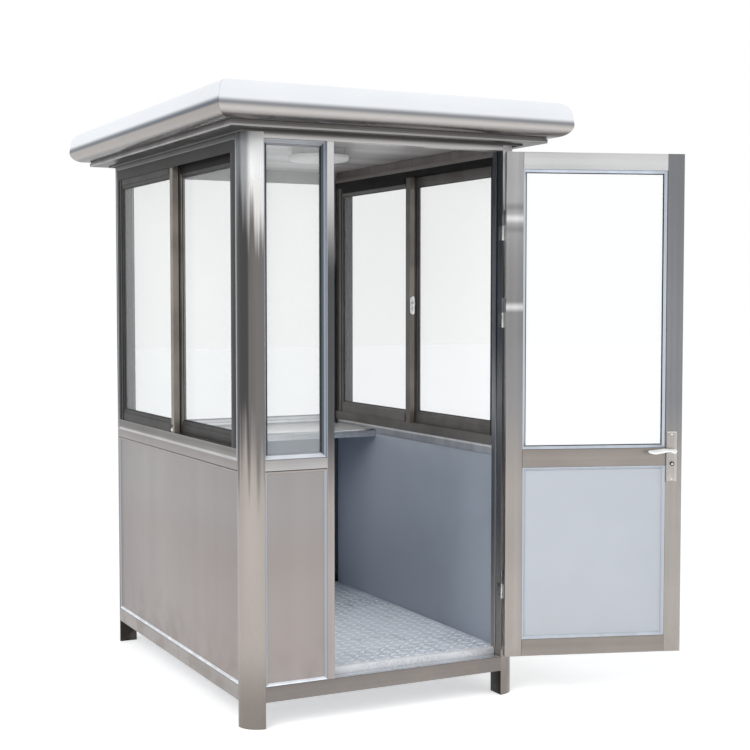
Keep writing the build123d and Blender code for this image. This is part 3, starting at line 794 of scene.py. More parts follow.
class Shape:
    """Closed shells gathered in the shared frame, ready to become one piece."""

    def __init__(self) -> None:
        """Start empty."""
        self.mesh = bmesh.new()
        self.copied: list[str] = []

    @classmethod
    def of_node(cls, node: str, ease: float) -> "Shape":
        """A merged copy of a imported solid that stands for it, with its sharp edges rounded over.

        Args:
            node: The solid's name.
            ease: How far the rounding reaches.

        Returns:
            The shape, with its flat faces joined up.
        """
        made = cls()
        made.copied, mesh = [node], made.mesh
        mesh.from_mesh(frame["nodes"][node].data)
        bmesh.ops.remove_doubles(mesh, verts=mesh.verts[:], dist=0.01 * MM)
        bmesh.ops.dissolve_limit(mesh, angle_limit=radians(0.5), verts=mesh.verts[:], edges=mesh.edges[:])
        sharp = [edge for edge in mesh.edges if len(edge.link_faces) == 2]
        sharp = [edge for edge in sharp if edge.calc_face_angle_signed(0.0) > radians(35)]
        return made.ease(ease, sharp)

    def ease(self, width: float, edges: Iterable[bmesh.types.BMEdge]) -> "Shape":
        """Round some edges over by a width."""
        settings = {"segments": 2, "profile": 0.5, "affect": "EDGES", "clamp_overlap": True}
        bmesh.ops.bevel(self.mesh, geom=list(edges), offset=width, **settings)
        return self

    def slab(self, wall: Wall, low: Point3, high: Point3, ease: float) -> "Shape":
        """Add a block between two corners given in a wall's numbers.

        Args:
            wall: The wall it is set out from.
            low: Along, up and out of the first corner.
            high: Along, up and out of the opposite corner.
            ease: Width of its rounded edges.

        Returns:
            The shape itself.
        """
        corners = bmesh.ops.create_cube(self.mesh, size=1.0)["verts"]
        for corner in corners:
            numbers = (a + (b - a) * (share + 0.5) for a, b, share in zip(low, high, corner.co))
            corner.co = wall.point(*numbers)
        return self.ease(ease, {edge for corner in corners for edge in corner.link_edges})

    def skin(self, rows: Sequence[Sequence[Vector]], closed: bool = False) -> "Shape":
        """Join rows of points, each a closed loop, into one shell.

        Args:
            rows: The loops, with as many points each.
            closed: Whether the last row joins the first, or both ends are capped.

        Returns:
            The shape itself.
        """
        loops = [[self.mesh.verts.new(place) for place in row] for row in rows]
        count = len(loops[0])
        for first, second in zip(loops, loops[1:] + (loops[:1] if closed else [])):
            for index in range(count):
                following = (index + 1) % count
                self.mesh.faces.new((first[index], first[following], second[following], second[index]))
        if not closed:
            self.mesh.faces.new(loops[0])
            self.mesh.faces.new(loops[-1])
        return self

    def ring(self, wall: Wall, section: Outline, low: Point2, high: Point2) -> "Shape":
        """Add a mitred frame that follows a rectangle on a wall.

        Args:
            wall: The wall.
            section: The moulding's outline, as inset from the rectangle and depth.
            low: Along and up of the rectangle's first corner.
            high: Along and up of its opposite corner.

        Returns:
            The shape itself.
        """
        rows = []
        for inset, out in section:
            left, bottom, right, top = low[0] + inset, low[1] + inset, high[0] - inset, high[1] - inset
            corners = ((left, bottom), (right, bottom), (right, top), (left, top))
            rows.append([wall.point(along, up, out) for along, up in corners])
        return self.skin(rows, closed=True)

    def hoop(self, section: Outline) -> "Shape":
        """Add a moulding that runs level round the booth; its outline is out of the walls and height."""
        rows = []
        for out, up in section:
            x, y = AT.half_x + out, AT.half_y + out
            corners = ((-x, -y, up), (x, -y, up), (x, y, up), (-x, y, up))
            rows.append([AT.centre + Vector(corner) for corner in corners])
        return self.skin(rows, closed=True)

    def upright(self, section: Outline, wall: Wall, bottom: float, top: float) -> "Shape":
        """Add a moulding that stands on end; its outline is along and out of the wall."""
        return self.skin([[wall.point(along, up, out) for along, out in section] for up in (bottom, top)])

    def pad(self, wall: Wall, low: Point2, high: Point2, radius: float, levels: Outline) -> "Shape":
        """Add a plate with rounded corners and a shaped edge.

        Args:
            wall: The wall it lies on.
            low: Along and up of its first corner.
            high: Along and up of its opposite corner.
            radius: Radius of its corners.
            levels: Inset and distance out of the wall, from back to front.

        Returns:
            The shape itself.
        """
        rows = []
        for inset, out in levels:
            first, last = (low[0] + inset, low[1] + inset), (high[0] - inset, high[1] - inset)
            rows.append([wall.point(along, up, out) for along, up in rounded(first, last, radius - inset, 6)])
        return self.skin(rows)

    def run(self, section: Outline, wall: Wall, start: float, end: float, lean: float = 0.0) -> "Shape":
        """Add a straight moulding, its outline out of the wall and up; lean 1 mitres both ends outwards."""
        ends = ((start, -lean), (end, lean))
        return self.skin([[wall.point(at + way * out, up, out) for out, up in section] for at, way in ends])

    def turned(self, foot: Vector, axis: Vector, profile: Outline, sides: int) -> "Shape":
        """Add a turned form.

        Args:
            foot: Where its axis starts.
            axis: Its direction.
            profile: Radius and distance along the axis, end to end.
            sides: Faces round it.

        Returns:
            The shape itself.
        """
        spin = axis.normalized().to_track_quat("Z", "Y")
        angles = [2 * pi * side / sides for side in range(sides)]
        rows = [
            [foot + spin @ Vector((radius * cos(angle), radius * sin(angle), along)) for angle in angles]
            for radius, along in profile
        ]
        return self.skin(rows)

    def paint(self, choose: Callable[[Vector, Vector], int]) -> "Shape":
        """Give each face a finish number, chosen by its normal and its middle."""
        self.close()
        for face in self.mesh.faces:
            face.material_index = choose(face.normal, face.calc_center_median())
        return self

    def close(self) -> None:
        """Merge doubles and point every shell's faces outwards."""
        bmesh.ops.remove_doubles(self.mesh, verts=self.mesh.verts[:], dist=0.002 * MM)
        bmesh.ops.recalc_face_normals(self.mesh, faces=self.mesh.faces[:])
        self.mesh.normal_update()

    def as_object(self, name: str) -> Object:
        """Close the shape and hand it over as a new object."""
        self.close()
        mesh = bpy.data.meshes.new(name)
        self.mesh.to_mesh(mesh)
        self.mesh.free()
        return bpy.data.objects.new(name, mesh)

    def piece(
        self,
        name: str,
        finishes: Sequence[Any],
        slot: str = "brushed_steel",
        body: str = "booth",
        replaces: Sequence[str] = (),
    ) -> Object:
        """Turn the shape into a piece of the model.

        Args:
            name: The piece's name.
            finishes: Its finishes or materials, by number.
            slot: Its material slot.
            body: The body it rides on.
            replaces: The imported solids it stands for, besides one it is a copy of.

        Returns:
            The object.
        """
        made = self.as_object(name)
        for finish in finishes:
            made.data.materials.append(finish.material() if isinstance(finish, Finish) else finish)
        return settle(made, slot, body, [*self.copied, *replaces])


def settle(piece: Object, slot: str, body: str = "booth", replaces: Sequence[str] = ()) -> Object:
    """Link a finished mesh object, shade it, and tie it to its body.

    Args:
        piece: The object, at the origin.
        slot: Its material slot.
        body: The body it rides on.
        replaces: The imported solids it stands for.

    Returns:
        The object.
    """
    bpy.context.scene.collection.objects.link(piece)
    piece.data.polygons.foreach_set("use_smooth", [True] * len(piece.data.polygons))
    piece.data.set_sharp_from_angle(angle=radians(32))
    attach(piece, body)
    if replaces:
        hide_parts(*replaces)
    log.info("%-34s %6d faces  rides on %s", piece.name, len(piece.data.polygons), body)
    return piece


def baked(holder: Object, modifier: bpy.types.Modifier) -> bpy.types.Mesh:
    """Run an object's one modifier and take it off.

    Args:
        holder: The object, linked to the scene.
        modifier: Its modifier.

    Returns:
        The resulting mesh.
    """
    bpy.context.view_layer.update()
    evaluated = holder.evaluated_get(bpy.context.evaluated_depsgraph_get())
    mesh = bpy.data.meshes.new_from_object(evaluated)
    holder.modifiers.remove(modifier)
    return mesh


def bore(target: Object, foot: Vector, axis: Vector, depth: float, radius: float = 6 * MM) -> None:
    """Cut a round hole through a piece.

    Args:
        target: The piece.
        foot: Where the hole starts.
        axis: Its direction.
        depth: How far it goes.
        radius: Its radius.
    """
    cutter = Shape().turned(foot, axis, [(radius, 0.0), (radius, depth)], 24).as_object("drill")
    bpy.context.scene.collection.objects.link(cutter)
    modifier = target.modifiers.new("bore", "BOOLEAN")
    modifier.operation, modifier.solver, modifier.object = "DIFFERENCE", "EXACT", cutter
    modifier.use_self = True
    target.data = baked(target, modifier)
    target.data.set_sharp_from_angle(angle=radians(32))
    bpy.data.objects.remove(cutter)


def dress(node: str, material: Material) -> None:
    """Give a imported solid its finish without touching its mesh."""
    target = frame["nodes"][node]
    target.data.materials.clear()
    target.data.materials.append(material)
    log.info("%-34s keeps its solid", node)


# ---- repeats ----


class Pattern(Tree):
    """A Geometry Nodes tree under construction, with its sizes as named inputs."""

    def __init__(self, name: str) -> None:
        """Start a tree with geometry in and out."""
        super().__init__(bpy.data.node_groups.new(name, "GeometryNodeTree"))
        for way in ("INPUT", "OUTPUT"):
            self.tree.interface.new_socket("Geometry", in_out=way, socket_type="NodeSocketGeometry")
        self.inlet = self.tree.nodes.new("NodeGroupInput")
        self.outlet = self.tree.nodes.new("NodeGroupOutput")
        self.sizes: dict[str, Any] = {}

    def size(self, name: str, value: Any, kind: str = "Float") -> Socket:
        """Add a named input with its value and return it."""
        item = self.tree.interface.new_socket(name, in_out="INPUT", socket_type=f"NodeSocket{kind}")
        item.default_value = value
        self.sizes[item.identifier] = value
        return Socket(self.tree, self.inlet.outputs[name])

    def form(self, kind: str, **inputs: Any) -> Output:
        """Add a Geometry node and return its first output."""
        return self.node(f"GeometryNode{kind}", **inputs).outputs[0]

    def vector(self, **numbers: Any) -> Output:
        """Join X, Y and Z into one vector."""
        return self.node("ShaderNodeCombineXYZ", **numbers).outputs[0]

    def grow(self, name: str, base: bpy.types.Mesh, geometry: Any, finish: Finish) -> Object:
        """End the tree in real instances with one finish, and keep a plain mesh.

        Args:
            name: The new object's name.
            base: The mesh that the tree starts from.
            geometry: The tree's last result.
            finish: The finish.

        Returns:
            The object, with no modifier left.
        """
        solid = self.form("RealizeInstances", Geometry=geometry)
        dressed = self.form("SetMaterial", Geometry=solid, Material=finish.material())
        self.tree.links.new(dressed, self.outlet.inputs[0])
        grower = bpy.data.objects.new(name + "_seed", base)
        bpy.context.scene.collection.objects.link(grower)
        modifier = grower.modifiers.new("pattern", "NODES")
        modifier.node_group = self.tree
        for identifier, value in self.sizes.items():
            modifier[identifier] = value
        mesh = baked(grower, modifier)
        bpy.data.objects.remove(grower)
        mesh.name = name
        return bpy.data.objects.new(name, mesh)


@dataclass
class Screws:
    """Round-headed cross-slot screws, set on whatever surface each one faces."""

    radius: float
    rise: float
    slot_share: float = 0.62

    def head(self, tree: Pattern) -> Output:
        """Make one head with its slots cut, facing up."""
        radius = tree.size("Radius", self.radius)
        rise = tree.size("Rise", self.rise)
        length = radius * tree.size("Slot share", self.slot_share)
        ball = tree.form("MeshUVSphere", Segments=16, Rings=8, Radius=radius)
        ball = tree.form("Transform", Geometry=ball, Scale=tree.vector(X=1.0, Y=1.0, Z=rise))
        width = length * 0.28
        height = radius * rise * 2.02
        cut = tree.node("GeometryNodeMeshBoolean", {"operation": "DIFFERENCE"})
        tree.tree.links.new(ball, cut.inputs["Mesh 1"])
        raised = tree.vector(Z=height * 0.86)
        for along, across in ((length, width), (width, length)):
            arm = tree.form("MeshCube", Size=tree.vector(X=along, Y=across, Z=height))
            arm = tree.form("Transform", Geometry=arm, Translation=raised)
            tree.tree.links.new(arm, cut.inputs["Mesh 2"])
        return cut.outputs[0]

    def grow(
        self, name: str, places: Sequence[tuple[Vector, Vector]], finish: Finish, slot: str, body: str
    ) -> Object:
        """Set one screw at each place.

        Args:
            name: The piece's name.
            places: Each screw's seat and the way it faces.
            finish: The heads' finish.
            slot: Its material slot.
            body: The body they ride on.

        Returns:
            One mesh with all the heads.
        """
        base = bpy.data.meshes.new(name + "_places")
        base.from_pydata([place for place, _ in places], [], [])
        facing = base.attributes.new("facing", "FLOAT_VECTOR", "POINT")
        for item, (_, direction) in zip(facing.data, places):
            item.vector = direction
        tree = Pattern("screw_heads")
        named = tree.node("GeometryNodeInputNamedAttribute", {"data_type": "FLOAT_VECTOR"}, Name="facing")
        aimed = tree.node("FunctionNodeAlignRotationToVector", {"axis": "Z"}, Vector=named.outputs[0])
        points = tree.inlet.outputs["Geometry"]
        heads = tree.form(
            "InstanceOnPoints", Points=points, Instance=self.head(tree), Rotation=aimed.outputs[0]
        )
        return settle(tree.grow(name, base, heads, finish), slot, body)


# ---- frame of the booth ----


@dataclass
class CornerPosts:
    """Four quarter-round posts that run from the ground to the roof."""

    ease: float = 0.8 * MM

    def build(self) -> None:
        """Make a dressed twin of each post, with its own finish on the two faces inside; both finishes carry
        painted reflections and shade.
        """
        corners = {"front_left": (-1, -1), "front_right": (1, -1), "rear_right": (1, 1), "rear_left": (-1, 1)}
        for corner, (x_sign, y_sign) in corners.items():
            shape = Shape.of_node(f"post_{corner}", self.ease)
            shape.paint(lambda normal, _: 1 if normal.x * x_sign < -0.98 or normal.y * y_sign < -0.98 else 0)
            place = AT.centre + Vector((x_sign * AT.face_x, y_sign * AT.face_y, 0))
            outside = POST_STEEL.material(corner, place, x_sign, y_sign)
            inside = JAMB_STEEL if y_sign < 0 else REAR_POST_STEEL
            shape.piece(f"{corner}_post_skin", [outside, inside])


@dataclass
class Rails:
    """Base, middle and top rails, the mullion, the door seals and the folded head linings."""

    base_depth: float = 76 * MM
    upper_depth: float = 56 * MM
    edge: float = 2.5 * MM
    lining: float = 1.5 * MM
    lining_drop: float = 16 * MM
    lining_fold: float = -68.2 * MM
    seal_depths: Point2 = (-54 * MM, -44 * MM)
    seal_reach: float = 4 * MM

    def level(self, name: str, depth: float, bottom: float, top: float, front_end: float) -> None:
        """Make the rails of one level, one piece for all four walls.

        Args:
            name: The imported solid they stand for.
            depth: How far they reach in.
            bottom: Height of their underside.
            top: Height of their top.
            front_end: Where the front one ends.
        """
        shape = Shape()
        outline = rounded((-depth, bottom), (0.0, top), self.edge)
        for side in ("left", "right", "rear"):
            shape.run(outline, AT.wall(side), *AT.wall(side).span)
        shape.run(outline, AT.wall("front"), -AT.face_x, front_end)
        inner = AT.half_x - depth - 2 * MM

        def choose(normal: Vector, middle: Vector) -> int:
            """0 on the side rails, 1 on the front and rear ones, 2 on every face that looks inwards; each is
            a differently lit copy of the steel, painted light.
            """
            place = middle - AT.centre
            if abs(place.x) > inner and abs(place.y) < AT.face_y:
                return 2 if normal.x * place.x < -0.5 * abs(place.x) else 0
            return 2 if normal.y * place.y < -0.5 * abs(place.y) else 1

        sides, faces = SIDE_STEEL.material(Grain.ACROSS, pi / 2), FACE_STEEL.material(Grain.ACROSS)
        shape.paint(choose).piece(f"{name}_skin", [sides, faces, LINING_STEEL], replaces=[name])

    def build(self) -> None:
        """Make the three levels, the mullion, the seals and the linings."""
        self.level("base_rails", self.base_depth, AT.base_bottom, AT.base_top, AT.face_x)
        self.level("mid_rails", self.upper_depth, AT.sill_bottom, AT.sill_top, AT.mullion_left)
        self.level("top_rails", self.upper_depth, AT.head_bottom, AT.frame_top, AT.face_x)
        front = AT.wall("front")
        outline = rounded((AT.mullion_left, -self.upper_depth), (AT.mullion_right, 0.0), self.edge)
        mullion = Shape().upright(outline, front, AT.base_top, AT.head_bottom)
        # Its face towards -X wears the bluish bead finish, a painted reflection.
        mullion.paint(lambda normal, _: 1 if normal.x < -0.6 else 0).piece(
            "door_mullion_skin", [MULLION_STEEL, BEAD_BLUE], replaces=["door_mullion"]
        )
        self.seals(front)
        self.linings()

    def seals(self, front: Wall) -> None:
        """Add the door seals behind the shut door's place: black rubber at the mullion, and on the hinge side
        the jamb's finish with its painted shade.
        """
        shape = Shape()
        back, face = self.seal_depths
        for place, reach in ((AT.mullion_right, self.seal_reach), (AT.face_x, -self.seal_reach)):
            near, far = sorted((place, place + reach))
            outline = rounded((near, back), (far, face), 1.5 * MM)
            shape.upright(outline, front, AT.floor_top + 4 * MM, AT.head_bottom)
        shape.paint(lambda _, middle: 1 if middle.x > AT.mullion_right + 0.1 else 0)
        shape.piece("door_seals", [RUBBER, JAMB_STEEL])

    def linings(self) -> None:
        """Add the folded strips that line the head inside."""
        shape = Shape()
        back, fold = -self.upper_depth, self.lining_fold
        foot, low = AT.head_bottom, AT.head_bottom - self.lining_drop
        angle = [
            (back, foot + 0.2 * MM),
            (back, foot + self.lining),
            (fold - self.lining, foot + self.lining),
            (fold - self.lining, low),
            (fold, low),
            (fold, foot + 0.2 * MM),
        ]
        flat = rounded((back - self.lining, low - 4 * MM), (back, AT.frame_top), 0.5 * MM)
        for side, outline in (("left", angle), ("right", angle), ("rear", flat)):
            shape.run(outline, AT.wall(side), *AT.wall(side).span)
        shape.run(flat, AT.wall("front"), -AT.face_x, AT.mullion_left)
        # The head linings wear the lining steel's painted shade.
        shape.piece("head_linings", [LINING_STEEL.material(Grain.ACROSS, pi / 2)])


# ---- walls ----


@dataclass
class WallPanels:
    """Insulated panels: a steel skin outside, a coated lining inside, and a bead frame round each skin."""

    ease: float = 1.0 * MM
    bead_width: float = 12 * MM
    skin_inset: float = 6 * MM
    bead_gap: float = 0.3 * MM

    def bead_section(self) -> Outline:
        """Outline of the pressed bead: a round back and a slope down to the skin."""
        inset, width = self.skin_inset, self.bead_width
        back = in_mm((0.0, -1.6), (0.8, -0.9), (2.4, -0.6))
        slope = [(0.55 * width, -2.0 * MM), (0.85 * width, -3.8 * MM), (width, -inset + 0.3 * MM)]
        return [(0.0, -inset), *back, *slope, (width, -inset)]

    def build(self) -> None:
        """Make the panels and their beads."""
        beads, gap = Shape(), self.bead_gap
        for side in ("left", "right", "rear", "front"):
            wall, name = AT.wall(side), f"{side}_wall_panel" if side != "front" else "front_bay_panel"
            start, end = wall.span if side != "front" else (wall.span[0], AT.mullion_left)
            shape = Shape.of_node(name, self.ease)
            shape.paint(lambda normal, _: 1 if normal.dot(wall.outward) < -0.5 else 0)
            shape.piece(f"{name}_skin", [PANEL_STEEL, LINING], "wall_panel")
            low, high = (start + gap, AT.base_top + gap), (end - gap, AT.sill_bottom - gap)
            beads.ring(wall, self.bead_section(), low, high)
        foot = AT.base_top + self.bead_width + 1 * MM
        top = AT.sill_bottom - self.bead_width - 2 * MM
        edge = AT.sill_bottom - 3 * MM

        def choose(_: Vector, middle: Vector) -> int:
            """0 on the lower bars, 1 on the upright ones, 2 on the upper ones and 3 on their top edge:
            painted light, bright below, bluish at the sides, darker above with a painted shade line on top.
            """
            if middle.z < foot:
                return 0
            return (3 if middle.z > edge else 2) if middle.z > top else 1

        upper = [finish.material(Grain.ACROSS) for finish in (BEAD_TOP, BEAD_SHADE)]
        finishes = [BRIGHT_STEEL, SIDE_BEAD, *upper]
        beads.paint(choose).piece("panel_bead_frames", finishes, "polished_bead", replaces=["panel_beads"])


# ---- floor, desk and ceiling ----


@dataclass
class Floor:
    """Tread-plate floor with a rounded nosing and a bright sill plate under the door."""

    bar_length: float = 40 * MM
    bar_width: float = 13 * MM
    bar_rise: float = 1.9 * MM
    pitch: float = 44 * MM
    margin: float = 16 * MM
    nosing_depth: float = 22 * MM
    sill_thickness: float = 1.4 * MM

    def build(self) -> None:
        """Make the deck, its tread bars, the nosing and the sill plate."""
        deck = Shape.of_node("floor_deck", 1.0 * MM)
        deck.piece("floor_deck_sheet", [TREAD], "aluminium_tread")
        self.bars()
        front = AT.wall("front")
        edge = AT.inner_y - AT.half_y
        top, base, start = AT.floor_top, AT.base_top, edge - self.nosing_depth
        over = ((0.0, -0.2), (0.0, 1.6), (1.5, 2.6))
        down = ((-5.0, 2.8), (-0.6, 1.6), (2.4, -1.4), (3.4, -6.0))
        section = [(start + out, top + up) for out, up in in_mm(*over)]
        section += [(edge + out, top + up) for out, up in in_mm(*down)]
        section += [(edge + 3.4 * MM, base), (edge, base), (edge, top - 0.2 * MM)]
        span = (AT.mullion_right, AT.face_x - 1 * MM)
        Shape().run(section, front, *span).piece("threshold_nosing", [NOSING], "aluminium_tread")
        plate = rounded((edge + 3.6 * MM, base), (-3 * MM, base + self.sill_thickness), 0.5 * MM)
        bright = BRIGHT_STEEL.material(Grain.ACROSS)
        Shape().run(plate, front, *span).piece("threshold_plate", [bright])

    def bars(self) -> None:
        """Set the raised bars on a staggered grid, turned one way and the other by turns."""
        half_x = AT.face_x - self.margin
        rear = AT.face_y - self.margin
        near = self.nosing_depth + self.margin - AT.inner_y
        across, deep = 2 * half_x, rear - near
        tree = Pattern("tread_bars")
        span_x, span_y = tree.size("Span across", across), tree.size("Span deep", deep)
        count_x = tree.size("Bars across", round(across / self.pitch), "Int")
        count_y = tree.size("Bars deep", round(deep / self.pitch), "Int")
        length, width = tree.size("Bar length", self.bar_length), tree.size("Bar width", self.bar_width)
        height = tree.size("Bar rise", self.bar_rise) * 2.0
        middle = (AT.centre.x, AT.centre.y + (rear + near) / 2, AT.floor_top)
        place = tree.size("Place", middle, "Vector")
        grid = tree.form("MeshGrid", Size_X=span_x, Size_Y=span_y, Vertices_X=count_x, Vertices_Y=count_y)
        bar = tree.form("MeshUVSphere", Segments=8, Rings=4, Radius=0.5)
        bar = tree.form("Transform", Geometry=bar, Scale=tree.vector(X=length, Y=width, Z=height))
        index = Socket(tree.tree, tree.form("InputIndex"))
        row = index.maths("MODULO", index, count_y)
        column = index.maths("FLOOR", index.maths("DIVIDE", index, count_y))
        parity = index.maths("MODULO", row + column, 2.0)
        wear = tree.node("FunctionNodeRandomValue", {"data_type": "FLOAT"}, Seed=7)
        wear.inputs[2].default_value, wear.inputs[3].default_value = 0.55, 1.0
        spin, worn = tree.vector(Z=parity * (pi / 2) + pi / 4), tree.vector(X=1.0, Y=1.0, Z=wear.outputs[1])
        laid = tree.form("InstanceOnPoints", Points=grid, Instance=bar, Rotation=spin, Scale=worn)
        lifted = tree.form("Transform", Geometry=laid, Translation=place)
        seed = bpy.data.meshes.new("tread_seed")
        settle(tree.grow("floor_tread_bars", seed, lifted, TREAD_BARS), "aluminium_tread")


@dataclass
class Desk:
    """Fixed desk across the back: a laminate top with a folded steel edge."""

    edge: float = 1.4 * MM
    roll: float = 8 * MM
    return_depth: float = 26 * MM

    def build(self) -> None:
        """Make the top and its edging."""
        low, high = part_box("desk")
        steel = DESK_EDGE.material(Grain.ACROSS)
        shape = Shape.of_node("desk", 0.8 * MM).paint(lambda normal, _: 0 if normal.z > 0.7 else 1)
        shape.piece("desk_top", [DESK, steel], "desk_laminate")
        front = low.y - (AT.centre.y + AT.half_y)
        reach, bend = self.roll + self.edge, (front + self.roll, high.z - self.roll)
        section = [
            (front - self.edge, low.z),
            (front - self.edge, high.z - self.roll),
            *arc(bend, reach, reach, pi, 6, -pi / 2),
            (front + self.return_depth, high.z + self.edge),
            (front + self.return_depth, high.z + 0.1 * MM),
            (front + self.roll, high.z + 0.1 * MM),
            (front + 0.1 * MM, high.z - self.roll),
            (front + 0.1 * MM, low.z),
        ]
        span = AT.inner_x - 1 * MM
        Shape().run(section, AT.wall("rear"), -span, span).piece("desk_edging", [steel])


@dataclass
class CeilingLight:
    """Round surface light: a pan against the ceiling and a wider opal cover below it."""

    sides: int = 72
    shadow_gap: float = 2.2 * MM
    pan_share: float = 115 / 130

    def build(self) -> None:
        """Make the pan, the dark gap ring and the cover; the ring is black set in the shadow gap, painted
        shade.
        """
        low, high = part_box("ceiling_light")
        centre = Vector(((low.x + high.x) / 2, (low.y + high.y) / 2, high.z))
        cover, half = (high.x - low.x) / 2, (high.z - low.z) / 2
        pan, gap = cover * self.pan_share, half - self.shadow_gap
        rim = [(pan - 1 * MM, 0.0), (pan, 1 * MM), (pan, half - 4 * MM)]
        rim += [(pan - 2 * MM, gap), (pan - 14 * MM, gap)]
        # Painted shade: a black ring set in the shadow gap between pan and cover.
        ring = [(pan - 12 * MM, gap - 1 * MM), (pan - 12 * MM, half + 1 * MM)]
        curve, fall = half - 8.5 * MM, half + 8 * MM
        shade = [(pan - 6 * MM, half), (cover - 3 * MM, half), (cover - 0.8 * MM, half + 0.8 * MM)]
        shade += [(cover, half + 2.5 * MM), *arc((cover - curve, fall), curve, curve, 0.0, 6)]
        shade += [((cover - curve) * share, 2 * half - 0.1 * MM) for share in (0.7, 0.4, 0.1)]
        for name, profile, finish, replaces in (
            ("pan", rim, LAMP_BASE, []),
            ("gap", ring, RUBBER, []),
            ("cover", shade, LAMP, ["ceiling_light"]),
        ):
            form = Shape().turned(centre, Vector((0, 0, -1)), profile, self.sides)
            form.piece(f"ceiling_light_{name}", [finish], "light_cover", replaces=replaces)


# ---- windows ----


@dataclass
class SlidingWindow:
    """A two-sash sliding window in a channelled frame, the same on both sides of the booth."""

    side: str
    jamb: float = 32 * MM
    head: float = 45 * MM
    sill: float = 40 * MM
    track_depth: float = 10 * MM
    stile: float = 50 * MM
    top_rail: float = 50 * MM
    bottom_rail: float = 60 * MM
    bead: float = 15 * MM
    bead_drop: float = 4 * MM
    chamfer: float = 1.2 * MM
    gasket: float = 3.5 * MM
    overlap: float = 22 * MM
    half_pane: float = 2.5 * MM
    channels: Sequence[Point2] = ((-4.0, -33.0), (-37.0, -66.0))
    faces: Point2 = (-68.0, -2.0)
    wall: Wall = field(init=False)

    def __post_init__(self) -> None:
        """Find the wall and the opening; the right window is the left one turned half round."""
        wall = AT.wall(self.side)
        self.wall = Wall(wall.origin, wall.along if self.side == "left" else -wall.along, wall.outward)
        self.low, self.high = AT.sill_top + self.sill, AT.head_bottom - self.head

    def piece(self, shape: Shape, name: str, finishes: Sequence[Any], replaces: str = "") -> None:
        """Turn a shape into one of the window's aluminium pieces."""
        solids = [f"{self.side}_window_{replaces}"] if replaces else []
        shape.piece(f"{self.side}_window_{name}", finishes, "bronze_aluminium", replaces=solids)

    def channelled(self, base: float, face: float) -> Outline:
        """Outline of a frame member: plain at the back, with two channels in its face.

        Args:
            base: Place of its back, across its thickness.
            face: Place of its face.

        Returns:
            Points as (out of the wall, across the thickness).
        """
        floor = face - self.track_depth if face > base else face + self.track_depth
        inner, outer = (place * MM for place in self.faces)
        outline = [(inner, base), (outer, base), (outer, face)]
        for near, far in self.channels:
            outline += [(near * MM, face), (near * MM, floor), (far * MM, floor), (far * MM, face)]
        return [*outline, (inner, face)]

    def frame_piece(self) -> None:
        """Make the outer frame: head, sill and jambs."""
        shape = Shape()
        reach = AT.face_y
        for base, face in ((AT.head_bottom, self.high), (AT.sill_top, self.low)):
            shape.run(self.channelled(base, face), self.wall, -reach, reach)
        for sign in (-1, 1):
            outline = self.channelled(sign * reach, sign * (reach - self.jamb))
            shape.upright([(across, out) for out, across in outline], self.wall, self.low, self.high)

        def choose(normal: Vector, middle: Vector) -> int:
            """0 outside, 1 inside, 2 on the sill, 3 on the jambs' and head's faces, 4 in the channels; 1, 3
            and 4 are darker copies, painted shade.
            """
            out, facing = self.wall.depth(middle), normal.dot(self.wall.outward)
            if -60 * MM < out < -3 * MM and abs(facing) < 0.5:
                return 4
            if facing > 0.5:
                return 2 if middle.z < self.low else 3 if out > -10 * MM else 4
            if abs(self.wall.reach(middle)) > AT.face_y - self.jamb:
                return 3
            return 4 if middle.z > self.high - self.track_depth - 1 * MM else 1

        finishes = [BRONZE_OUT, BRONZE_IN, SILL_STEEL, BRONZE_HEAD, TRACK]
        finishes = [finish.material(Grain.ACROSS, pi / 2) for finish in finishes]
        self.piece(shape.paint(choose), "frame_bars", finishes, "frame")

    def member(self, edge: float, glass: float, back: float, front: float) -> Outline:
        """Outline of a sash bar, with a lower glazing bead on the glass side.

        Args:
            edge: Place of its outer edge.
            glass: Place of its glass edge.
            back: Out-of-wall place of its inside face.
            front: Out-of-wall place of its outside face.

        Returns:
            Points as (across the bar, out of the wall).
        """
        sign = 1 if glass > edge else -1
        step = glass - sign * self.bead
        chamfer, drop = self.chamfer, self.bead_drop
        outline = []
        for face, way in ((front, 1), (back, -1)):
            half = [
                (edge, face - way * chamfer),
                (edge + sign * chamfer, face),
                (step - sign * chamfer, face),
                (step, face - way * chamfer),
                (step, face - way * drop),
                (glass - sign * 3 * MM, face - way * (drop + 0.6 * MM)),
                (glass, face - way * (drop + 3 * MM)),
            ]
            outline += half[::way]
        return outline

    def sash_piece(self, which: str) -> None:
        """Make one sash: two stiles, two rails and the gaskets against its glass.

        Args:
            which: outer_sash or inner_sash.
        """
        low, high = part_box(f"{self.side}_window_{which}")
        near, far = sorted(self.wall.reach(corner) for corner in (low, high))
        back, front = sorted(self.wall.depth(corner) for corner in (low, high))
        light_low = (near + self.stile, low.z + self.bottom_rail)
        light_high = (far - self.stile, high.z - self.top_rail)
        shape = Shape()
        for edge, glass in ((near, light_low[0]), (far, light_high[0])):
            shape.upright(self.member(edge, glass, back, front), self.wall, low.z, high.z)
        for edge, glass in ((low.z, light_low[1]), (high.z, light_high[1])):
            outline = [(out, across) for across, out in self.member(edge, glass, back, front)]
            shape.run(outline, self.wall, light_low[0] - 0.2 * MM, light_high[0] + 0.2 * MM)

        def choose(normal: Vector, middle: Vector) -> int:
            """0 outside, 1 inside, 2 round the outer edges, 3 on the inner sash's top rail; 1 to 3 are darker
            copies, painted shade, near black on that top rail.
            """
            facing = normal.dot(self.wall.outward)
            if which == "inner_sash" and middle.z > light_high[1] + self.bead:
                return 3
            if abs(self.wall.reach(middle)) > 30 * MM:
                return 1 if facing < -0.5 else 2
            return 0 if facing > 0.2 or abs(normal.y) > 0.7 else 1

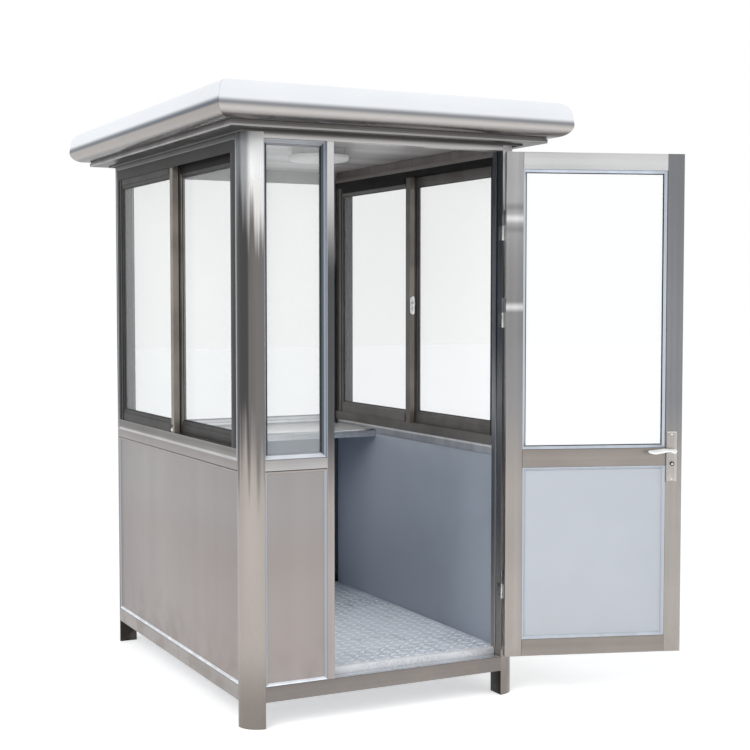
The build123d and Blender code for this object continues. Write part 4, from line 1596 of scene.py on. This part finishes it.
        self.piece(shape.paint(choose), f"{which}_bars", [BRONZE_OUT, BRONZE_IN, BRONZE_RAIL, TRACK], which)
        rubber = Shape()
        for sign in (-1, 1):
            pane = (back + front) / 2 + sign * self.half_pane
            outline = lip(0.0, self.gasket, 0.5, pane, sign, (3.2, 3.6, 0.8))
            rubber.ring(self.wall, outline, light_low, light_high)
        self.piece(rubber, f"{which}_gasket", [RUBBER])

    def fittings(self) -> None:
        """Add the pile strip, the roller clip and plug, the trims and the track ribs."""
        wall, low, high = self.wall, self.low, self.high
        start, near, far = -self.overlap, -AT.face_y, AT.face_y
        pile = rounded((start + 4 * MM, -37.6 * MM), (start + 11 * MM, -32.2 * MM), 1 * MM)
        self.piece(Shape().upright(pile, wall, low + 2 * MM, high - 2 * MM), "pile_strip", [RUBBER])
        corners = (start + 15 * MM, low + 4 * MM), (start + 33 * MM, low + 16 * MM)
        clip = Shape().pad(wall, *corners, 2 * MM, in_mm((0.0, -5.6), (0.0, -3.4), (0.8, -2.6)))
        self.piece(clip, "clip", [CLIP])
        seat = wall.point(start + 24 * MM, low + 28 * MM, -5.6 * MM)
        plug = Shape().turned(seat, wall.outward, in_mm((4.5, 0.0), (4.5, 1.4), (3.5, 2.2)), 20)
        self.piece(plug, "plug", [RUBBER])
        first, last = (near + self.jamb - 1 * MM, low, -3.6 * MM), (near + 2 * self.jamb, high, -2.2 * MM)
        self.piece(Shape().slab(wall, first, last, 0.3 * MM), "jamb_trim", [BRONZE_RAIL])
        strips, ribs = Shape(), Shape()
        for place in (near + 0.4 * MM, far - 10.4 * MM):
            first, last = (place, AT.sill_top, -2.1 * MM), (place + 10 * MM, AT.head_bottom, -0.9 * MM)
            strips.slab(wall, first, last, 0.4 * MM)
        self.piece(strips, "side_strips", [BEAD_BLUE])
        for place in (-18.5 * MM, -51.5 * MM):
            outline = rounded((place - 1.2 * MM, low - 10.2 * MM), (place + 1.2 * MM, low - 5 * MM), 0.6 * MM)
            ribs.run(outline, wall, near + self.jamb, far - self.jamb)
        self.piece(ribs, "track_ribs", [BRIGHT_STEEL.material(Grain.ACROSS, pi / 2)])

    def latch(self) -> None:
        """Make the crescent latch on the free side of the inner sash's meeting stile."""
        low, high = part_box(f"{self.side}_window_latch")
        middle = (low + high) / 2
        foot = self.wall.origin + self.wall.along * min(self.wall.reach(corner) for corner in (low, high))
        foot += self.wall.outward * self.wall.depth(middle)
        face = Wall(foot, self.wall.outward, self.wall.along)
        width, height, hub = (high.x - low.x) / 2, (high.z - low.z) / 2, middle.z + 6 * MM
        corners = (-width, middle.z - height), (width, middle.z + height)
        levels = in_mm((0.0, 0.0), (0.0, 2.6), (1.0, 4.2), (3.0, 5.0))
        shape = Shape().pad(face, *corners, width - 0.2 * MM, levels)
        boss = in_mm((8, 0.0), (8, 5.0), (7, 7.0), (6.4, 10.6), (4.5, 11.8))
        shape.turned(face.point(0.0, hub, 4.6 * MM), face.outward, boss, 28)
        hook = arc((0.0, hub), -10.4 * MM, 15 * MM, radians(-60), 12, radians(240))
        shape.skin([[face.point(along, up, out) for along, up in hook] for out in (5.4 * MM, 8.6 * MM)])
        grip = []
        for drop, half, out in ((0.0, 3.8, 9.0), (11.2, 3.2, 11.0), (24.0, 3.6, 13.0), (32.0, 2.4, 13.4)):
            ring = arc((0.0, out * MM), half * MM, 2.6 * MM, 0.0, 12, 2 * pi)[:-1]
            grip.append([face.point(along, hub - drop * MM, depth) for along, depth in ring])
        name = f"{self.side}_window_latch"
        shape.skin(grip).piece(name + "_set", [CHROME], "lock_chrome", replaces=[name])

    def build(self) -> None:
        """Make the whole window."""
        self.frame_piece()
        for which in ("outer_sash", "inner_sash"):
            self.sash_piece(which)
        self.fittings()
        self.latch()
        dress(f"{self.side}_window_glass", GLASS.material())


@dataclass
class FixedLight:
    """A pane held between sloped beads and soft gaskets."""

    node: str
    side: str
    start: float
    end: float
    width: float = 14 * MM
    depth: float = 16 * MM
    gasket: float = 6 * MM

    def bead(self, pane: float, sign: int) -> Outline:
        """Outline of the bead on one face of the pane, as inset and distance out of the wall."""
        front, width = pane + sign * self.depth, self.width
        slope = [(8.0 * MM, 10.1), (width - 2 * MM, 4.2), (width, 3.0), (width, 0.0)]
        nose = [(0.0, pane), (0.0, front - sign * 1.0 * MM), (1.0 * MM, front), (4.0 * MM, front)]
        return nose + [(inset, pane + sign * rise * MM) for inset, rise in slope]

    def build(self) -> None:
        """Make the beads on both faces and the gaskets at the pane."""
        wall = AT.wall(self.side)
        outs = sorted(wall.depth(corner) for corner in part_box(f"{self.node}_glass"))
        low, high = (self.start, AT.sill_top), (self.end, AT.head_bottom)
        beads, rubber = Shape(), Shape()
        for pane, sign in ((outs[0], -1), (outs[1], 1)):
            beads.ring(wall, self.bead(pane, sign), low, high)
            rubber.ring(wall, lip(self.width, self.gasket, 0.6, pane, sign, (2.4, 2.6, 0.6)), low, high)
        foot, head = AT.sill_top + self.width, AT.head_bottom - self.width
        deep, reach = outs[1] + 9 * MM, self.gasket + 1 * MM

        def choose(normal: Vector, middle: Vector) -> int:
            """0 at the foot, 1 on the uprights, 2 on the deep half of one side's slopes, 3 at the head: a
            painted highlight at the foot, painted reflection on the uprights and painted shade on those
            slopes.
            """
            if middle.z < foot:
                return 0
            if middle.z > head:
                return 3
            return 2 if normal.dot(wall.along) < -0.3 and wall.depth(middle) < deep else 1

        finishes, slot = [BEAD_FOOT, BEAD_BLUE, BEAD_SLATE, BEAD_HEAD], "polished_bead"
        solids = [f"{self.node}_glazing_beads"]
        beads.paint(choose).piece(f"{self.node}_bead_frames", finishes, slot, replaces=solids)
        rubber.paint(lambda _, middle: 0 if foot + reach < middle.z < head - reach else 1)
        rubber.piece(f"{self.node}_gaskets", [RUBBER, SEAL_GREY], slot)
        dress(f"{self.node}_glass", GLASS.material())


# ---- roof ----


@dataclass
class Roof:
    """Cornice, four rolled eaves with mitred corners, and the deck between them."""

    band_height: float = 18 * MM
    band_out: float = 8 * MM
    flange_drop: float = 10 * MM
    groove: float = 4 * MM
    groove_height: float = 6 * MM
    lip: float = 7 * MM
    overhang: float = 157 * MM
    lower: float = 49 * MM
    upright: float = 30 * MM
    lean: float = 4 * MM
    shoulder: float = 56 * MM
    bottom_curve: float = 58 * MM
    bearing: float = 40 * MM
    mitre_gap: float = 0.4 * MM
    steps: int = 14

    def section(self) -> Outline:
        """Outline of an eave: distance out of the wall and height, two quarter rolls and a lean between."""
        bottom, high = (corner.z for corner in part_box("front_eave"))
        widest = bottom + self.lower
        turn = widest + self.upright
        low_roll = (self.overhang - self.bottom_curve, widest)
        high_roll = (self.overhang - self.shoulder, turn)
        outline = [(-self.bearing, high), (-self.bearing, bottom)]
        outline += arc(low_roll, self.bottom_curve, self.lower, -pi / 2, self.steps)
        return outline + arc(high_roll, self.shoulder - self.lean, high - turn, 0.0, self.steps)

    def cornice(self) -> None:
        """Make the flange under the eaves, with a groove over its lip, and the band on the wall."""
        top, high = AT.frame_top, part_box("front_eave")[0].z
        out = AT.centre.y - AT.half_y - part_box("cornice")[0].y
        low, foot, over = top - self.flange_drop, top - self.band_height, high - self.groove_height
        flange = [
            (-self.bearing, top),
            (-self.bearing, high),
            (out - self.groove, high),
            (out - self.groove, over),
            (out - 0.8 * MM, over),
            (out, over - 0.8 * MM),
            (out, low + self.lip),
            (out, low + 1.2 * MM),
            (out - 1.2 * MM, low),
            (0.2 * MM, low),
            (0.2 * MM, top),
        ]
        gap, round_off = 0.2 * MM, 2 * MM
        band = [(0.0, foot), (0.0, low - gap), (self.band_out, low - gap)]
        band += [(self.band_out, foot + round_off), (self.band_out - round_off, foot)]

        def choose(normal: Vector, middle: Vector) -> int:
            """0 on the lip, 1 on the flange above it, 2 on the band and underneath: a painted highlight on
            the lip and painted shade below.
            """
            return 2 if normal.z < -0.9 or middle.z < low else 0 if middle.z < low + self.lip else 1

        finishes = [finish.material(Grain.ACROSS) for finish in (LIP_STEEL, FLANGE_STEEL, BAND_STEEL)]
        shape = Shape().hoop(flange).hoop(band).paint(choose)
        shape.piece("cornice_moulding", finishes, replaces=["cornice"])

    def build(self) -> None:
        """Make the cornice, the eaves and the deck."""
        self.cornice()
        section = self.section()
        across, deep = (AT.half_x, EAVE_STEEL), (AT.half_y, SIDE_EAVE_STEEL)
        for side, (half, finish) in {"front": across, "rear": across, "left": deep, "right": deep}.items():
            wall, end = AT.wall(side), half - self.mitre_gap
            steel = finish.material(Grain.ACROSS, wall.turn)
            eave = Shape().run(section, wall, -end, end, lean=1.0)
            eave.piece(f"{side}_eave_sheet", [steel], replaces=[f"{side}_eave"])
        deck = Shape.of_node("roof_deck", 1 * MM)
        deck.piece("roof_deck_sheet", [DECK_SHEET], "roof_sheet")


# ---- door ----


@dataclass
class DoorLeaf:
    """Glazed door: two stiles, three rails, a pane above and a coated panel below."""

    stile: float = 70 * MM
    top_rail: float = 68 * MM
    mid_rail: float = 73 * MM
    bottom_rail: float = 69 * MM
    edge: float = 2.0 * MM
    seam: float = 0.35 * MM
    bead: float = 12 * MM
    gasket: float = 3.5 * MM
    plate_drop: float = 25 * MM

    def __post_init__(self) -> None:
        """Measure the leaf."""
        self.inner, self.outer = (AT.door_wall("door_frame", facing) for facing in (-1, 1))
        reaches = [self.inner.reach(corner.co) for corner in frame["nodes"]["door_frame"].data.vertices]
        self.start, self.end = min(reaches), max(reaches)
        self.bottom, self.top = (corner.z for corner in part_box("door_frame"))
        self.mid_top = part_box("door_glass")[0].z
        self.thickness = -self.outer.depth(self.inner.origin)

    def openings(self) -> list[tuple[Point2, Point2, str]]:
        """The two openings of the leaf, with the solid that fills each."""
        left, right = self.start + self.stile, self.end - self.stile
        return [
            ((left, self.mid_top), (right, self.top - self.top_rail), "door_glass"),
            ((left, self.bottom + self.bottom_rail), (right, self.mid_top - self.mid_rail), "door_panel"),
        ]

    def members(self) -> None:
        """Make the stiles and rails, each with the seam where it meets the next; the stiles and the top rail
        wear painted reflections and shade.
        """
        depth, stiles = self.thickness, Shape()
        left, right = self.start + self.stile, self.end - self.stile
        for low, high in ((self.start, left), (right, self.end)):
            stiles.upright(rounded((low, -depth), (high, 0.0), self.edge), self.inner, self.bottom, self.top)
        middle = (self.start + self.end) / 2
        stiles.paint(lambda _, centre: 1 if self.inner.reach(centre) > middle else 0)
        finishes = [HINGE_STILE_STEEL, FREE_STILE_STEEL]
        piece = stiles.piece("door_stiles", finishes, body="door")
        foot = self.inner.point(self.inner.reach(AT.spindle), AT.spindle.z, 10 * MM)
        bore(piece, foot, -self.inner.outward, self.thickness + 20 * MM)
        for name, bottom, top, finish, replaces in (
            ("top_rail", self.top - self.top_rail, self.top, TOP_RAIL_STEEL, []),
            ("mid_rail", self.mid_top - self.mid_rail, self.mid_top, MID_RAIL_STEEL, ["door_frame"]),
            ("bottom_rail", self.bottom, self.bottom + self.bottom_rail, MID_RAIL_STEEL, []),
        ):
            outline = rounded((-depth + 0.3 * MM, bottom), (-0.3 * MM, top), self.edge)
            rail = Shape().run(outline, self.inner, left + self.seam, right - self.seam)
            steel = finish.material(Grain.ACROSS, AT.door_turn)
            rail.piece(f"door_{name}", [steel], body="door", replaces=replaces)

    def bead_section(self, pane: float) -> Outline:
        """Outline of a bead on a pane, as inset and distance out of the leaf's face."""
        nose = in_mm((0.2, 0.1), (0.2, 8.8), (1.2, 9.8), (4.0, 9.6))
        slope = [(self.bead - 1.6 * MM, 3.6 * MM), (self.bead, 2.2 * MM), (self.bead, 0.1 * MM)]
        return [(inset, pane + rise) for inset, rise in nose + slope]

    def infills(self) -> None:
        """Make the beads on both faces of both openings, the gaskets at the glass, and the panel."""
        beads, rubber = Shape(), Shape()
        for low, high, node in self.openings():
            for wall, facing in ((self.inner, -1), (self.outer, 1)):
                pane = wall.depth(AT.door_wall(node, facing).origin)
                beads.ring(wall, self.bead_section(pane), low, high)
                if node == "door_glass":
                    rubber.ring(wall, lip(self.bead, self.gasket, 0.6, pane, 1, (1.8, 2.0, 0.6)), low, high)
        beads.paint(lambda _, middle: 1 if middle.z < self.mid_top - 1 * MM else 0)
        beads.piece("door_bead_frames", [DOOR_BEAD, PANEL_BEAD], "polished_bead", "door", ["door_beads"])
        rubber.piece("door_gaskets", [RUBBER], "polished_bead", "door")
        panel = Shape.of_node("door_panel", 0.8 * MM)
        panel.piece("door_panel_sheet", [DOOR_PANEL], "wall_panel", "door")
        dress("door_glass", GLASS.material())

    def edge_fittings(self) -> None:
        """Add the lock's faceplate and drawn-back bolts in the door's edge, and the keep in the mullion."""
        along, outward = self.inner.along, self.inner.outward
        edge = Wall(self.inner.origin - outward * (self.thickness / 2) + along * self.end, outward, along)
        spindle = AT.spindle.z
        plate = spindle - self.plate_drop
        corners = (-11 * MM, plate - 118 * MM), (11 * MM, plate + 118 * MM)
        shape = Shape().pad(edge, *corners, 10.5 * MM, in_mm((0.0, -0.5), (0.0, 0.9), (0.6, 1.5)))
        latch = (-8 * MM, spindle - 12 * MM, 1.2 * MM), (6 * MM, spindle + 12 * MM, 2.6 * MM)
        bolt = (-6 * MM, plate - 56 * MM, 1.2 * MM), (6 * MM, plate - 26 * MM, 2.0 * MM)
        shape.slab(edge, *latch, 0.8 * MM).slab(edge, *bolt, 0.5 * MM)
        shape.piece("lock_faceplate", [SATIN], "lock_chrome", "door")
        place = AT.centre + Vector((AT.mullion_right, -AT.half_y + self.thickness / 2, 0))
        side = Wall(place, Vector((0, 1, 0)), Vector((1, 0, 0)))
        corners = (-12 * MM, plate - 95 * MM), (12 * MM, plate + 95 * MM)
        keep = Shape().pad(side, *corners, 3 * MM, in_mm((0.0, -0.5), (0.0, 0.6), (0.5, 1.2)))
        keep.piece("strike_plate", [SATIN], "lock_chrome")

    def build(self) -> None:
        """Make the whole leaf."""
        self.members()
        self.infills()
        self.edge_fittings()


@dataclass
class Hinges:
    """Three lift-off hinges: a barrel half and a leaf on the door, the same on the post."""

    rises: Sequence[float] = (0.292, 1.397, 1.748)
    screw_radius: float = 3.8 * MM
    screw_steps: Sequence[float] = (12 * MM, 49 * MM)
    screw_depths: Point2 = (22 * MM, -14 * MM)
    leaf_face: float = 0.5 * MM
    barrel: float = 9 * MM
    ease: float = 0.5 * MM

    def build(self) -> None:
        """Make the dressed halves and their screws."""
        slot = "brushed_steel"
        leaves = Shape.of_node("door_hinge_leaves", self.ease)
        leaves.piece("door_hinge_halves", [HINGE_GREY], slot, "door")
        halves = Shape.of_node("post_hinge_leaves", self.ease)
        # The post halves' leaves wear the jamb's painted shade; their barrels the bright hinge tone, painted
        # light.
        halves.paint(lambda _, middle: 1 if (middle - AT.pin).xy.length > self.barrel else 0)
        halves.piece("post_hinge_halves", [HINGE_BRIGHT, JAMB_STEEL], slot)
        leaf = AT.door_wall("door_frame", 1)
        post_depth, door_depth = self.screw_depths
        post_places, door_places = [], []
        for centre in [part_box("door_frame")[0].z + rise for rise in self.rises]:
            for step in self.screw_steps:
                seat = AT.pin + Vector((self.leaf_face, post_depth, centre - step))
                post_places.append((seat, Vector((-1, 0, 0))))
                door_places.append((leaf.point(self.leaf_face, centre + step, door_depth), -leaf.along))
        heads = Screws(self.screw_radius, 0.08)
        heads.grow("post_hinge_screws", post_places, SCREW, slot, "booth")
        heads.grow("door_hinge_screws", door_places, SCREW, slot, "door")


@dataclass
class LockSet:
    """A long plate on each face of the door, with a lever and a key cylinder."""

    width: float = 46 * MM
    height: float = 207 * MM
    corner: float = 2.5 * MM
    thickness: float = 9 * MM
    drop: float = 25 * MM
    screw_step: float = 91.5 * MM
    cylinder_drop: float = 54 * MM
    cylinder_radius: float = 9 * MM
    cylinder_length: float = 8 * MM
    boss_radius: float = 11 * MM
    boss_start: float = 10 * MM
    standoff: float = 38 * MM
    lever_thickness: float = 11 * MM
    lever_length: float = 112 * MM
    lever_tail: float = 0.10
    bluntness: float = 0.72
    stations: int = 26
    around: int = 20

    def __post_init__(self) -> None:
        """Find the spindle on both faces."""
        self.inner, self.outer = (AT.door_wall("door_frame", facing) for facing in (-1, 1))
        self.place = self.inner.reach(AT.spindle)

    def plates(self) -> None:
        """Make the plates, the collars, the cylinders with their keyways, and the screws."""
        middle, thick = AT.spindle.z - self.drop, self.thickness
        radius, length = self.cylinder_radius, self.cylinder_length
        low = (self.place - self.width / 2, middle - self.height / 2)
        high = (self.place + self.width / 2, middle + self.height / 2)
        levels = in_mm((0.5, -2.2), (1.9, -0.7), (4.2, 0.0))
        levels = [(0.0, 0.0), (0.0, thick - 4.0 * MM)] + [(inset, thick + out) for inset, out in levels]
        collar = in_mm((14.5, 0.0), (14.5, 0.7), (13.8, 1.1), (11.6, 1.2))
        flare = [(radius + out, up) for out, up in in_mm((3.5, 0.0), (3.5, 1.2), (2.2, 2.4), (0.0, 2.6))]
        barrel = [(radius, 0.0), (radius, length - 1.2 * MM), (radius - 1.2 * MM, length)]
        barrel += [(radius - 3 * MM, length)]
        up, seat_depth = AT.spindle.z - self.cylinder_drop, thick - 0.3 * MM
        first = (self.place - 0.9 * MM, up - 3 * MM, seat_depth + length)
        last = (self.place + 0.9 * MM, up + 3 * MM, seat_depth + length + 0.8 * MM)
        plate, cylinders, plugs, keyways = (Shape() for _ in range(4))
        screws = []
        for wall in (self.inner, self.outer):
            out = wall.outward
            seat = wall.point(self.place, up, seat_depth)
            plate.pad(wall, low, high, self.corner, levels)
            plate.turned(wall.point(self.place, AT.spindle.z, thick - 0.4 * MM), out, collar, 40)
            plate.turned(seat, out, flare, 40)
            cylinders.turned(seat, out, barrel, 40)
            plug = in_mm((4.8, 0.0), (4.8, 0.9), (4.2, 1.2))
            plugs.turned(seat + out * (length - 0.6 * MM), out, plug, 28)
            # Painted shade: each keyway is a black slab standing in for the dark slot.
            keyways.slab(wall, first, last, 0.2 * MM)
            for step in (-self.screw_step, self.screw_step):
                screws.append((wall.point(self.place, middle + step, seat_depth), out))

        def choose(normal: Vector, centre: Vector) -> int:
            """1 on the top edge's slope, a painted highlight in chrome, 2 on the upper half of the hinge-side
            edge, a painted shadow in the screws' dark finish, 0 elsewhere.
            """
            if normal.z > 0.25 and centre.z > high[1] - 5 * MM:
                return 1
            return 2 if normal.dot(self.inner.along) < -0.6 and centre.z > AT.spindle.z else 0

        body, slot = "door", "lock_chrome"
        finishes = [LOCK_PLATE, CHROME, SCREW]
        piece = plate.paint(choose).piece("lock_plate_pair", finishes, slot, body, ["lock_plates"])
        foot = self.inner.point(self.place, AT.spindle.z, 40 * MM)
        bore(piece, foot, -self.inner.outward, 130 * MM)
        cylinders.piece("lock_cylinders", [CYLINDER], slot, body)
        plugs.piece("lock_cylinder_plugs", [CHROME], slot, body)
        keyways.piece("lock_keyways", [RUBBER], slot, body)
        Screws(4.2 * MM, 0.42).grow("lock_plate_screws", screws, CHROME, slot, body)

    def lever_rows(self, wall: Wall) -> list[list[Vector]]:
        """Oval rings along one lever, from behind its boss to its tip.

        Args:
            wall: The face of the door it stands on.

        Returns:
            The rings.
        """
        rows = []
        half = self.lever_thickness / 2
        depth = self.boss_start + self.standoff - half
        for station in range(self.stations + 1):
            share = station / self.stations
            reach = share * (1.0 + self.lever_tail) - self.lever_tail
            wave = 3.4 * MM * sin(reach * 2 * pi * 0.9) if reach > 0 else 0.0
            lift = 3.0 * MM * max(reach - 0.7, 0.0) / 0.3
            neck = max(1.0 - abs(reach - 0.2) / 0.22, 0.0)
            end = min(share / 0.07, (1 - share) / 0.05, 1.0)
            round_off = max(1 - (1 - end) ** 2, 0.02) ** 0.5
            tall = 10 * MM * (1.0 - 0.34 * neck - 0.5 * max(reach - 0.72, 0.0) / 0.28) * round_off
            thick = half * (1.0 - 0.22 * max(reach, 0.0)) * round_off
            place, height = self.place - self.lever_length * reach, AT.spindle.z + wave + lift
            ring = []
            for step in range(self.around):
                angle = 2 * pi * step / self.around
                up, out = (copysign(abs(side) ** self.bluntness, side) for side in (sin(angle), cos(angle)))
                ring.append(wall.point(place, height + up * tall, depth + out * thick))
            rows.append(ring)
        return rows

    def levers(self) -> None:
        """Make both levers, their bosses and the spindle."""
        shape, inner = Shape(), self.inner
        start, end = self.boss_start, self.boss_start + self.standoff
        near = in_mm((-1.0, 0.0), (0.0, 1.0), (0.0, 6.0), (-1.6, 10.0))
        far = in_mm((-2.0, -14.0), (-1.0, -8.0), (-1.2, -2.0), (-3.5, -0.4))
        boss = [(self.boss_radius + out, start + up) for out, up in near]
        boss += [(self.boss_radius + out, end + up) for out, up in far]
        for wall in (inner, self.outer):
            shape.turned(wall.point(self.place, AT.spindle.z), wall.outward, boss, 36)
            shape.skin(self.lever_rows(wall))
        gap = (self.outer.origin - inner.origin).length + 2 * start + 2 * MM
        foot = inner.point(self.place, AT.spindle.z, start + 1 * MM)
        shape.turned(foot, -inner.outward, [(5 * MM, 0.0), (5 * MM, gap)], 24)
        shape.piece("lever_pair", [CHROME], "lock_chrome", "handle", ["lever_handle"])

    def build(self) -> None:
        """Make the whole lock set."""
        self.plates()
        self.levers()


# ---- studio ----


def seen_rays(tree: Tree) -> Socket:
    """1 for camera, mirror and glass rays, 0 for the rest."""
    rays = tree.node("ShaderNodeLightPath")
    camera, glossy, through = (
        Socket(tree.tree, rays.outputs[f"Is {kind} Ray"]) for kind in ("Camera", "Glossy", "Transmission")
    )
    return camera.maths("MAXIMUM", camera.maths("MAXIMUM", camera, glossy), through)


@dataclass
class Studio:
    """Pale floor, soft light all round and a camera at eye height."""

    place: Point3 = (-2.010547, -4.981447, 1.6218)
    pitch: float = 86.983
    heading: float = -26.917
    lens: float = 68.64
    ambient: float = 0.62
    sky: Colour = (0.94, 0.97, 1.0)
    floor_size: float = 40.0

    def world(self) -> None:
        """Light from all round, plain white wherever it is seen or mirrored."""
        world = bpy.data.worlds.new("studio_air")
        bpy.context.scene.world = world
        world.use_nodes = True
        tree = Tree(world.node_tree)
        tree.tree.nodes.clear()
        light = tree.node("ShaderNodeBackground", Color=self.sky, Strength=self.ambient)
        white = tree.node("ShaderNodeBackground", Color=(1.0, 1.0, 1.0))
        mix = tree.node("ShaderNodeMixShader", Fac=seen_rays(tree))
        tree.tree.links.new(light.outputs[0], mix.inputs[1])
        tree.tree.links.new(white.outputs[0], mix.inputs[2])
        tree.node("ShaderNodeOutputWorld", Surface=mix.outputs[0])

    def floor(self) -> None:
        """Lay the pale floor."""
        mesh = bpy.data.meshes.new("studio_floor")
        size = self.floor_size
        corners = [(-size, -size, 0), (size, -size, 0), (size, size, 0), (-size, size, 0)]
        mesh.from_pydata(corners, [], [(0, 1, 2, 3)])
        floor = bpy.data.objects.new("studio_floor", mesh)
        bpy.context.scene.collection.objects.link(floor)
        made = Surface("studio_floor")
        shade = made.blend(made.noise(0.8, detail=2.0), (0.86, 0.86, 0.86), (0.88, 0.88, 0.88))
        glow = made.blend(seen_rays(made), (0.0, 0.0, 0.0), (0.48, 0.48, 0.48))
        pale = made.finish(Base_Color=shade, Roughness=0.9, Emission_Color=glow, Emission_Strength=1.0)
        mesh.materials.append(pale)

    def lamp(
        self, name: str, place: Point3, aim: Point3, size: float, power: float, spread: float = 180.0
    ) -> None:
        """Hang one soft box that mirrors don't show.

        Args:
            name: Its name.
            place: Where it hangs, from the booth's middle.
            aim: The point it faces.
            size: Its width and height.
            power: Watts.
            spread: Angle of its cone, in degrees.
        """
        data = bpy.data.lights.new(name, "AREA")
        data.shape, data.size, data.energy, data.spread = "SQUARE", size, power, radians(spread)
        lamp = bpy.data.objects.new(name, data)
        bpy.context.scene.collection.objects.link(lamp)
        lamp.visible_glossy = False
        lamp.location = AT.centre + Vector(place)
        lamp.rotation_euler = (Vector(aim) - Vector(place)).to_track_quat("-Z", "Y").to_euler()

    def build(self) -> None:
        """Set up the world, the floor, the lamps and the camera."""
        self.world()
        self.floor()
        self.lamp("key_box", (-4.5, -3.5, 4.5), (0, 0, 1.2), 3.5, 210)
        self.lamp("fill_box", (3.5, -5.0, 3.0), (0, 0, 1.2), 3.0, 70)
        self.lamp("floor_box", (0.0, -0.25, 2.19), (0.0, -0.25, 0.0), 0.7, 3.2, 60.0)
        data = bpy.data.cameras.new("eye")
        data.lens, data.sensor_width = self.lens, 36.0
        camera = bpy.data.objects.new("eye", data)
        bpy.context.scene.collection.objects.link(camera)
        camera.location = self.place
        camera.rotation_euler = (radians(self.pitch), 0.0, radians(self.heading))
        bpy.context.scene.camera = camera
        bpy.context.scene.view_settings.view_transform = "Standard"


def main() -> None:
    """Dress the booth, piece by piece."""
    logging.basicConfig(level=logging.INFO, format="%(message)s", stream=sys.stdout)
    for part in (Studio(), CornerPosts(), Rails(), WallPanels(), Floor(), Desk()):
        part.build()
    dress("ceiling_panel", CEILING.material(Grain.ACROSS))
    windows = [SlidingWindow(side) for side in ("left", "right")]
    bay = FixedLight("front_bay", "front", -AT.face_x, AT.mullion_left)
    rear = FixedLight("rear", "rear", -AT.face_x, AT.face_x)
    for part in (CeilingLight(), *windows, bay, rear, Roof(), DoorLeaf(), Hinges(), LockSet()):
        part.build()


if __name__ == "__main__":
    main()
